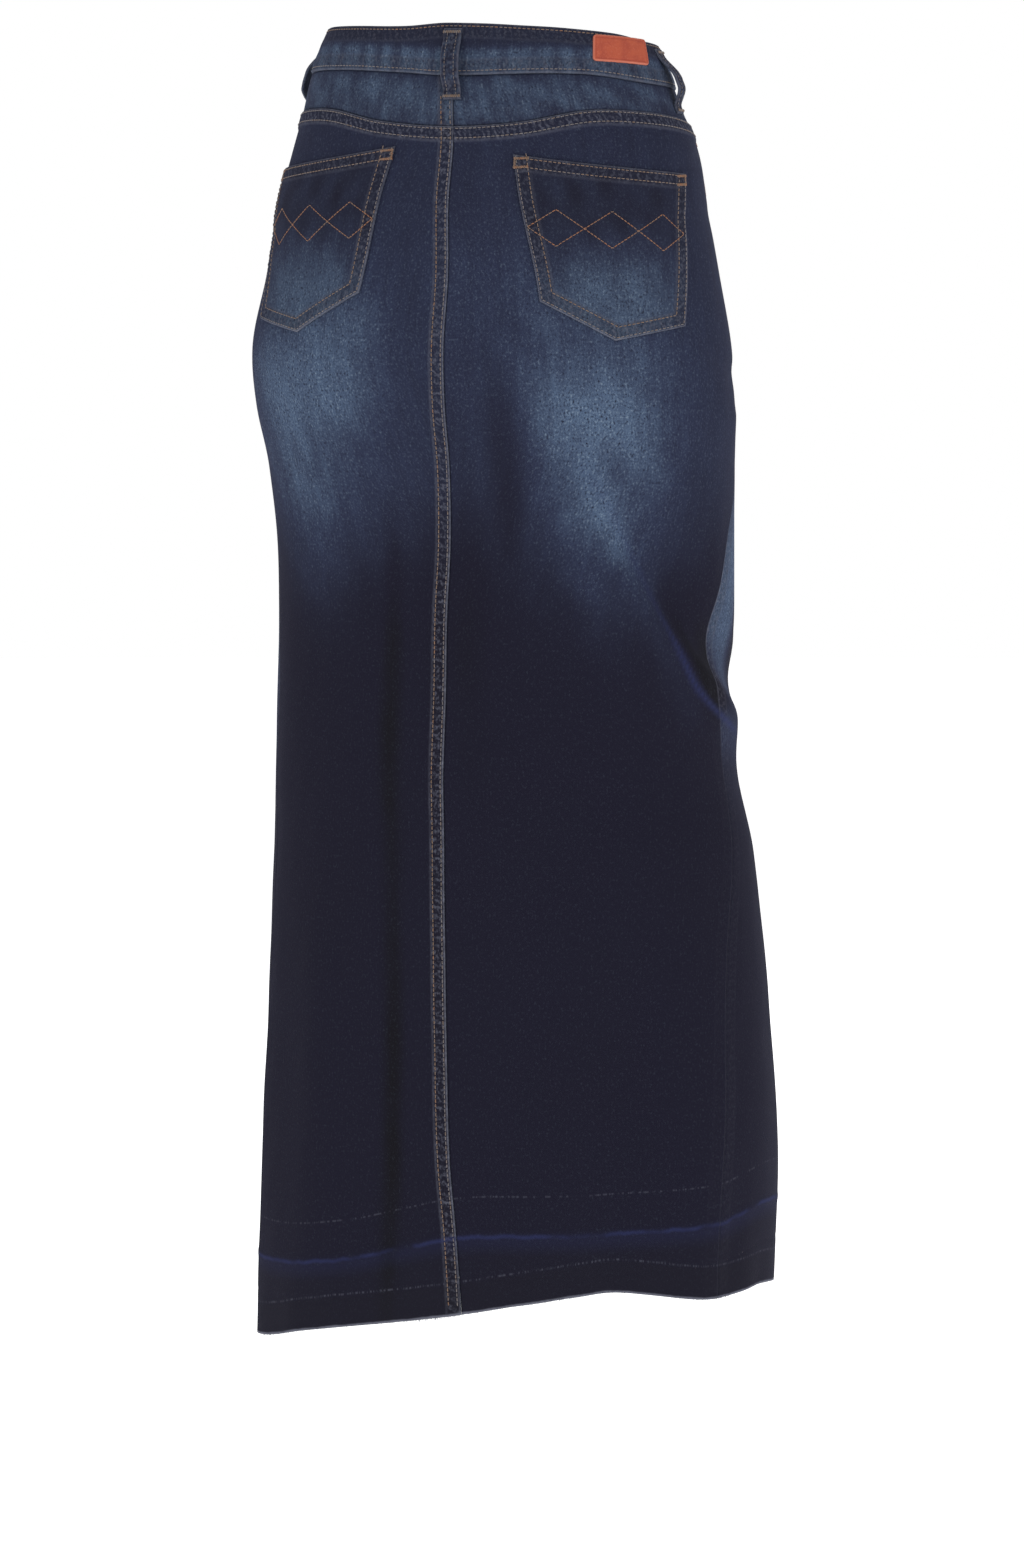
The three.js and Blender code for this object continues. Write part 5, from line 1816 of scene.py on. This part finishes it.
@dataclass(frozen=True)
class DenimFinish:
    """Indigo denim twill: unwashed, half faded and faded colours, a deeper colour for painted shade and other
    dark places, a painted highlight along the crest of the big fold, its sewn edges, and its wrong side.
    """

    name: str
    # Deepest colour, reached where the level falls below 0, which includes painted shade.
    deep: tuple = (22, 21, 27)
    dark: tuple = (27, 26, 40)
    half: tuple = (45, 51, 73)
    pale: tuple = (78, 95, 120)
    spark: tuple = (128, 144, 160)
    edge: tuple = (122, 124, 138)
    rope_dark: tuple = (30, 29, 36)
    rope_pale: tuple = (98, 100, 114)
    # Pale blue of the old hem fold, also used as a painted highlight along the crest of the big fold.
    fold_line_and_crest_highlight: tuple = (46, 52, 92)
    inside: tuple = (78, 87, 106)
    lift: float = 0.0

    def paint(self) -> bpy.types.Material:
        """Builds the material from the piece's map and marks."""
        p = Paint(self.name)
        cloth = p.node("UVMap", {"uv_map": "cloth"})
        # This mark holds fading, and in places painted highlight and painted shade.
        fade_and_painted_light = p.mark("fade_and_painted_light") + self.lift
        slub = p.noise(cloth, (600, 260, 1), 2.0, 0.6)
        grain = p.noise(cloth, (760, 640, 1), 1.0, 0.5)
        streak = p.noise(cloth, (190, 16, 1), 2.0, 0.55)
        mottle = p.noise(cloth, (60, 34, 1), 3.0, 0.6)
        broad = p.noise(cloth, (9, 6, 1), 1.0, 0.5)
        level = fade_and_painted_light * (mottle * 0.5 + streak * 0.44 + 0.53) + (broad - 0.5) * 0.07
        colour = p.blend(p.ramp(level, 0.0, 0.5), srgb(*self.dark), srgb(*self.half))
        colour = p.blend(p.ramp(level, 0.36, 0.98), colour, srgb(*self.pale))
        # Below 0 the level turns to the deepest colour: the darker rows of the table, painted shade among
        # them, and the painted shade above the crest.
        colour = p.blend(p.clamp(level * -4.0), colour, srgb(*self.deep))
        level = p.clamp(level)
        fleck = p.ramp(slub * 0.5 + grain * 0.5, 0.5, 0.74) * (level * level * 1.0 + 0.05)
        colour = p.blend(fleck, colour, srgb(*self.spark))
        gap = p.ramp(slub * 0.5 + grain * 0.5, 0.5, 0.3) * (level * 1.1 + 0.06)
        colour = p.blend(gap, colour, srgb(*self.dark))
        for name, width in (("side_edge", FELL_WIDTH), ("level_edge", FELL_WIDTH)):
            colour = self.wear(p, colour, name, width, cloth)
        colour = self.hem(p, colour, cloth)
        reverse = p.blend(slub, srgb(*(c - 18 for c in self.inside)), srgb(*(c + 14 for c in self.inside)))
        colour = p.blend(p.mark("inside"), colour, reverse)
        twill = p.node("SeparateXYZ", out=0, Vector=cloth) * 5600
        twill = twill + p.node("SeparateXYZ", out=1, Vector=cloth) * 4200
        rib = p.math("SINE", twill) * 0.5 + 0.5
        height = rib * 0.35 + slub * 0.45 + grain * 0.35
        return p.finish(
            colour, 0.9 + (slub - 0.5) * 0.12, height, 0.0003,
            Sheen_Weight=0.08, Sheen_Roughness=0.3, Sheen_Tint=srgb(138, 140, 186), Specular_IOR_Level=0.08,
        )

    def hem(self, p: Paint, colour: Link, cloth: Link) -> Link:
        """Adds a painted highlight along the crest of the big fold, and the let-down hem: the old fold line,
        a row of needle holes above it, darker cloth below it, and the pale raw edge.

        Args:
            p: The material.
            colour: What is under it.
            cloth: The cloth's map.

        Returns:
            The colour with the hem on it.
        """
        up, below, crest = p.marks("low")
        # Painted highlight along the crest of the big fold.
        colour = p.blend(crest * 0.6, colour, srgb(*self.fold_line_and_crest_highlight))
        ragged = (p.noise(cloth, (80, 5, 1), 3.0) - 0.5) * 6
        patchy = p.noise(cloth, (34, 34, 1), 2.0)
        fold = p.band(below + ragged * 0.7, 0.0, 2.6) * p.ramp(patchy, 0.3, 0.6)
        colour = p.blend(fold * 0.5, colour, srgb(*self.fold_line_and_crest_highlight))
        colour = p.blend(p.band(below, 5.0, 11.0) * 0.14, colour, srgb(*self.fold_line_and_crest_highlight))
        dashes = p.ramp(p.noise(cloth, (520, 3, 1), 1.0), 0.46, 0.62)
        colour = p.blend(p.band(below, HEM_HOLES, 1.1) * dashes * 0.24, colour, srgb(*self.rope_pale))
        colour = p.blend(p.ramp(below, 1.0, 9.0) * 0.22, colour, srgb(*self.rope_dark))
        specks = p.ramp(p.noise(cloth, (620, 60, 1), 1.0), 0.44, 0.66)
        row = p.band(up + ragged * 0.25, HEM_CUT, 1.3) * specks
        colour = p.blend(row * 0.32, colour, srgb(*self.rope_pale))
        colour = p.blend(p.ramp(up, HEM_CUT, HEM_CUT - 3.0) * 0.3, colour, srgb(*self.rope_dark))
        raw = p.ramp(up + ragged * 0.3, 2.4, 0.6) * 0.6
        return p.blend(raw, colour, srgb(*self.edge))

    def wear(self, p: Paint, colour: Link, name: str, width: float, cloth: Link) -> Link:
        """Adds the wear of one kind of sewn edge: a pale fold, and slanting pale puckers between its rows.

        Args:
            p: The material.
            colour: What is under the wear.
            name: The mark that holds distance, way along and strength.
            width: Distance of the inner row from the edge.
            cloth: The cloth's map.

        Returns:
            The colour with the wear on it.
        """
        away, along, strength = p.marks(name)
        patchy = p.noise(cloth, (150, 150, 1), 2.0)
        fine = p.noise(cloth, (560, 460, 1), 2.0)
        strip = p.ramp(away, width + 1.2, width - 0.6) * strength
        turns = (along + away * ROPE_SLANT) * (2 * math.pi / ROPE_PERIOD)
        slant = p.math("SINE", turns + patchy * 11)
        colour = p.blend(p.clamp(strip * 0.3), colour, srgb(*self.rope_dark))
        lump = p.ramp(slant * 0.4 + (fine - 0.5) * 4.6, -0.3, 1.2) * strip
        colour = p.blend(p.clamp(lump * (patchy * 0.9 + 0.05)), colour, srgb(*self.rope_pale))
        fold = p.ramp(away, 1.5, 0.3) * strength * (patchy * 0.9 + fine * 0.5)
        colour = p.blend(p.clamp(fold * 0.6), colour, srgb(*self.edge))
        beside_row = p.band(away, width + 0.6, 1.8) * strength * patchy
        return p.blend(p.clamp(beside_row * 0.4), colour, srgb(*self.rope_pale))


@dataclass(frozen=True)
class ThreadFinish:
    """Topstitching thread, from greyish tan to orange brown stitch by stitch, with a fine twist."""

    name: str
    grey: tuple = (118, 112, 113)
    tan: tuple = (128, 104, 86)
    orange: tuple = (158, 102, 64)

    def paint(self) -> bpy.types.Material:
        """Builds the material."""
        p = Paint(self.name)
        tone = p.mark("tone")
        colour = p.blend(p.ramp(tone, 0.0, 0.45), srgb(*self.grey), srgb(*self.tan))
        colour = p.blend(p.ramp(tone, 0.5, 1.0), colour, srgb(*self.orange))
        where = p.node("TexCoord", out="Object")
        fuzz = p.noise(where, (900, 900, 900), 2.0)
        colour = p.blend(fuzz * 0.35, colour, srgb(70, 56, 50))
        ply = p.math("SINE", p.mark("twist") * 9.0) * 0.5 + 0.5
        return p.finish(colour, 0.72 + fuzz * 0.1, ply * 0.6 + fuzz * 0.4, 0.00012, Sheen_Weight=0.15)


@dataclass(frozen=True)
class PatchFinish:
    """Matt orange-brown patch, a paler worn border and a fine pebble."""

    name: str
    body: tuple = (174, 80, 54)
    deep: tuple = (150, 60, 46)
    border: tuple = (200, 120, 98)

    def paint(self) -> bpy.types.Material:
        """Builds the material."""
        p = Paint(self.name)
        cloth = p.node("UVMap", {"uv_map": "cloth"})
        away, _, _ = p.marks("side_edge")
        pebble = p.noise(cloth, (700, 700, 1), 3.0)
        cloud = p.noise(cloth, (110, 110, 1), 2.0)
        colour = p.blend(p.ramp(cloud, 0.35, 0.7) * 0.6, srgb(*self.body), srgb(*self.deep))
        rule = p.band(away, PATCH_BORDER, 0.8)
        colour = p.blend(rule * 0.5, colour, srgb(*self.deep))
        colour = p.blend(p.ramp(away, 1.3, 0.5) * (0.45 + cloud * 0.4), colour, srgb(*self.border))
        colour = p.blend(p.ramp(pebble, 0.5, 0.75) * 0.25, colour, srgb(*self.border))
        return p.finish(colour, 0.6 + pebble * 0.2, pebble, 0.00018, Specular_IOR_Level=0.35)


@dataclass(frozen=True)
class MetalFinish:
    """Dulled brass with darker hollows."""

    name: str
    bright: tuple = (176, 140, 98)
    dull: tuple = (86, 66, 48)

    def paint(self) -> bpy.types.Material:
        """Builds the material."""
        p = Paint(self.name)
        where = p.node("TexCoord", out="Object")
        cloud = p.noise(where, (260, 260, 260), 3.0)
        scratch = p.noise(where, (1400, 300, 1400), 2.0)
        colour = p.blend(p.ramp(cloud, 0.3, 0.7), srgb(*self.dull), srgb(*self.bright))
        return p.finish(colour, 0.3 + cloud * 0.25, scratch, 0.00004, Metallic=1.0)


@dataclass(frozen=True)
class TapeFinish:
    """Woven zip tape, dark blue with fine ribs across."""

    name: str
    dark: tuple = (24, 25, 38)
    light: tuple = (52, 54, 72)

    def paint(self) -> bpy.types.Material:
        """Builds the material."""
        p = Paint(self.name)
        cloth = p.node("UVMap", {"uv_map": "cloth"})
        rib = p.math("SINE", p.node("SeparateXYZ", out=1, Vector=cloth) * 7800) * 0.5 + 0.5
        fuzz = p.noise(cloth, (1600, 1600, 1), 2.0)
        colour = p.blend(rib * 0.5 + fuzz * 0.3, srgb(*self.dark), srgb(*self.light))
        return p.finish(colour, 0.85 + fuzz * 0.1, rib, 0.00015)


@dataclass(frozen=True)
class LintFinish:
    """Pale weft threads of a raw edge, some still blue."""

    name: str
    pale: tuple = (176, 178, 184)
    blue: tuple = (58, 64, 92)

    def paint(self) -> bpy.types.Material:
        """Builds the material."""
        p = Paint(self.name)
        tone = p.mark("tone")
        colour = p.blend(p.ramp(tone, 0.35, 0.75), srgb(*self.blue), srgb(*self.pale))
        fuzz = p.noise(p.node("TexCoord", out="Object"), (1200, 1200, 1200), 1.0)
        return p.finish(p.blend(fuzz * 0.3, colour, srgb(*self.blue)), 0.9 + fuzz * 0.05)


class Finish(Enum):
    """Which finish a piece takes, with the record's slot that it stands for."""

    PANEL = "denim"
    YOKE = "yoke_denim"
    BAND = "band_denim"
    POCKET = "pocket_denim"
    PATCH = "patch_leather"
    TAPE = "tape"
    METAL = "antique_brass"
    THREAD = "thread"
    LINT = "denim_lint"


def paints() -> dict[Finish, bpy.types.Material]:
    """Makes each finish once."""
    return {
        Finish.PANEL: DenimFinish("denim_twill").paint(),
        Finish.YOKE: DenimFinish("denim_twill_yoke", lift=0.08).paint(),
        Finish.BAND: DenimFinish("denim_twill_band", lift=0.08).paint(),
        Finish.POCKET: DenimFinish("denim_twill_pocket", lift=0.02).paint(),
        Finish.PATCH: PatchFinish("matt_patch").paint(),
        Finish.TAPE: TapeFinish("woven_tape").paint(),
        Finish.METAL: MetalFinish("dulled_brass").paint(),
        Finish.THREAD: ThreadFinish("topstitch_thread").paint(),
        Finish.LINT: LintFinish("raw_edge_lint").paint(),
    }


def dress(obj: bpy.types.Object, finish: Finish, made: dict, nodes: tuple = ()) -> bpy.types.Object:
    """Gives a piece its material, its body and the model's nodes that it stands for.

    Args:
        obj: The piece.
        finish: Its finish.
        made: The materials.
        nodes: Nodes that it replaces.

    Returns:
        The piece.
    """
    obj.data.materials.clear()
    obj.data.materials.append(made[finish])
    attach(obj, "root")
    if nodes:
        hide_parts(*nodes)
    log.info("%s: %d faces", obj.name, len(obj.data.polygons))
    return obj


@dataclass
class Studio:
    """Pale floor, soft light all round and the camera at the photograph's angle."""

    camera_at: tuple = (-1.302, 3.782, -0.251)
    aim: tuple = (-0.012, -0.004, -0.523)
    lens: float = 127.5
    sensor: float = 36.0
    floor_level: float = -1.10
    floor_reach: float = 14.0
    backdrop: float = 1.0
    ambient: float = 0.46
    lights: tuple = (
        ("key", (-2.6, 3.2, 1.5), 2.6, 44.0),
        ("side", (2.4, 3.0, 0.6), 2.4, 20.0),
        ("front", (0.6, -3.8, 1.2), 2.8, 40.0),
        ("right", (-3.8, -0.6, 0.4), 2.4, 16.0),
        ("top", (0.0, 0.2, 3.0), 2.2, 12.0),
    )

    def camera(self) -> None:
        """Makes the camera and looks at the skirt's middle."""
        data = bpy.data.cameras.new("camera")
        data.lens = self.lens
        data.sensor_width = self.sensor
        data.sensor_fit = "AUTO"
        data.clip_end = 60
        obj = add_object("camera", data)
        obj.location = self.camera_at
        way = Vector(self.aim) - Vector(self.camera_at)
        obj.rotation_euler = way.to_track_quat("-Z", "Y").to_euler()
        bpy.context.scene.camera = obj

    def light(self) -> None:
        """Makes the soft lights, each turned to the skirt, and the pale surroundings."""
        middle = Vector((0.0, 0.0, -0.45))
        for name, at, size, power in self.lights:
            data = bpy.data.lights.new(name, "AREA")
            data.shape = "DISK"
            data.size = size
            data.energy = power
            obj = add_object(name, data)
            obj.location = at
            obj.rotation_euler = (middle - Vector(at)).to_track_quat("-Z", "Y").to_euler()
        world = bpy.data.worlds.new("surroundings")
        world.use_nodes = True
        tree = world.node_tree
        background = tree.nodes["Background"]
        path = tree.nodes.new("ShaderNodeLightPath")
        blend = tree.nodes.new("ShaderNodeMix")
        blend.inputs[2].default_value = self.ambient
        blend.inputs[3].default_value = self.backdrop
        tree.links.new(path.outputs["Is Camera Ray"], blend.inputs[0])
        tree.links.new(blend.outputs[0], background.inputs["Strength"])
        background.inputs["Color"].default_value = (1, 1, 1, 1)
        bpy.context.scene.world = world

    def floor(self) -> None:
        """Makes the floor, a wide disc of matt pale grey."""
        turns = np.arange(96) / 96 * 2 * math.pi
        rim = np.stack([np.cos(turns), np.sin(turns), 0 * turns], axis=-1) * self.floor_reach
        mesh = bpy.data.meshes.new("floor")
        mesh.from_pydata((rim + (0, 0, self.floor_level)).tolist(), [], [tuple(range(len(rim)))])
        obj = add_object("floor", mesh)
        p = Paint("pale_floor")
        where = p.node("TexCoord", out="Object")
        soft = p.noise(where, (3, 3, 3), 1.0) * 0.01
        p.shader.inputs["Emission Strength"].default_value = 0.72
        p.shader.inputs["Emission Color"].default_value = (1, 1, 1, 1)
        obj.data.materials.append(p.finish((0.86, 0.86, 0.86, 1), soft + 0.9))

    def build(self) -> None:
        """Makes the whole studio."""
        bpy.context.scene.view_settings.view_transform = "Standard"
        self.camera()
        self.light()
        self.floor()


@dataclass
class Skirt:
    """The whole skirt, built piece by piece."""

    made: dict = field(default_factory=paints)

    def cloth(self) -> None:
        """Panels, yokes, pockets and facings."""
        for side in Side:
            word = side.word
            back = dress(BackPanel(side).build(), Finish.PANEL, self.made, (f"back_panel_{word}",))
            front = dress(FrontPanel(side).build(), Finish.PANEL, self.made, (f"front_panel_{word}",))
            yoke = dress(Yoke(side).build(), Finish.YOKE, self.made, (f"back_yoke_{word}",))
            facing = dress(Facing(side).build(), Finish.POCKET, self.made, (f"front_pocket_facing_{word}",))
            pocket = PatchPocket(side, 3.5 if side is Side.RIGHT else -3.5)
            patch = dress(pocket.build(), Finish.POCKET, self.made, (f"back_pocket_{word}",))
            dress(sew_pocket(pocket).build(), Finish.THREAD, self.made)

    def band(self) -> None:
        """Waistband, belt loops and patch."""
        band = dress(Waistband().build(), Finish.BAND, self.made, ("waistband",))
        loops = [BeltLoop(*row) for row in LOOPS]
        for loop in loops:
            piece = dress(loop.build(), Finish.BAND, self.made, (f"belt_loop_{loop.name}",))
        dress(sew_loops(loops).build(), Finish.THREAD, self.made)
        dress(sew_band().build(), Finish.THREAD, self.made)
        dress(WaistPatch().build(), Finish.PATCH, self.made, ("waist_patch",))

    def seams(self) -> None:
        """Stitches of the long seams and the lint of the raw hem."""
        for sewing in [*sew_back(), sew_hem(), sew_front()]:
            dress(sewing.build(), Finish.THREAD, self.made)
        dress(HemFringe().build(), Finish.LINT, self.made)

    def closures(self) -> None:
        """Button and zip, closed."""
        dress(ShankButton().build(), Finish.METAL, self.made, ("shank_button",))
        zipper = Zip()
        tape = dress(zipper.tape(), Finish.TAPE, self.made, ("fly_zip",))
        dress(zipper.teeth(), Finish.METAL, self.made)
        dress(zipper.slider(), Finish.METAL, self.made, ("zip_slider",))


def main() -> None:
    """Builds the studio and the skirt."""
    logging.basicConfig(level=logging.INFO, format="%(message)s")
    Studio().build()
    skirt = Skirt()
    skirt.cloth()
    skirt.band()
    skirt.seams()
    skirt.closures()


if __name__ == "__main__":
    main()
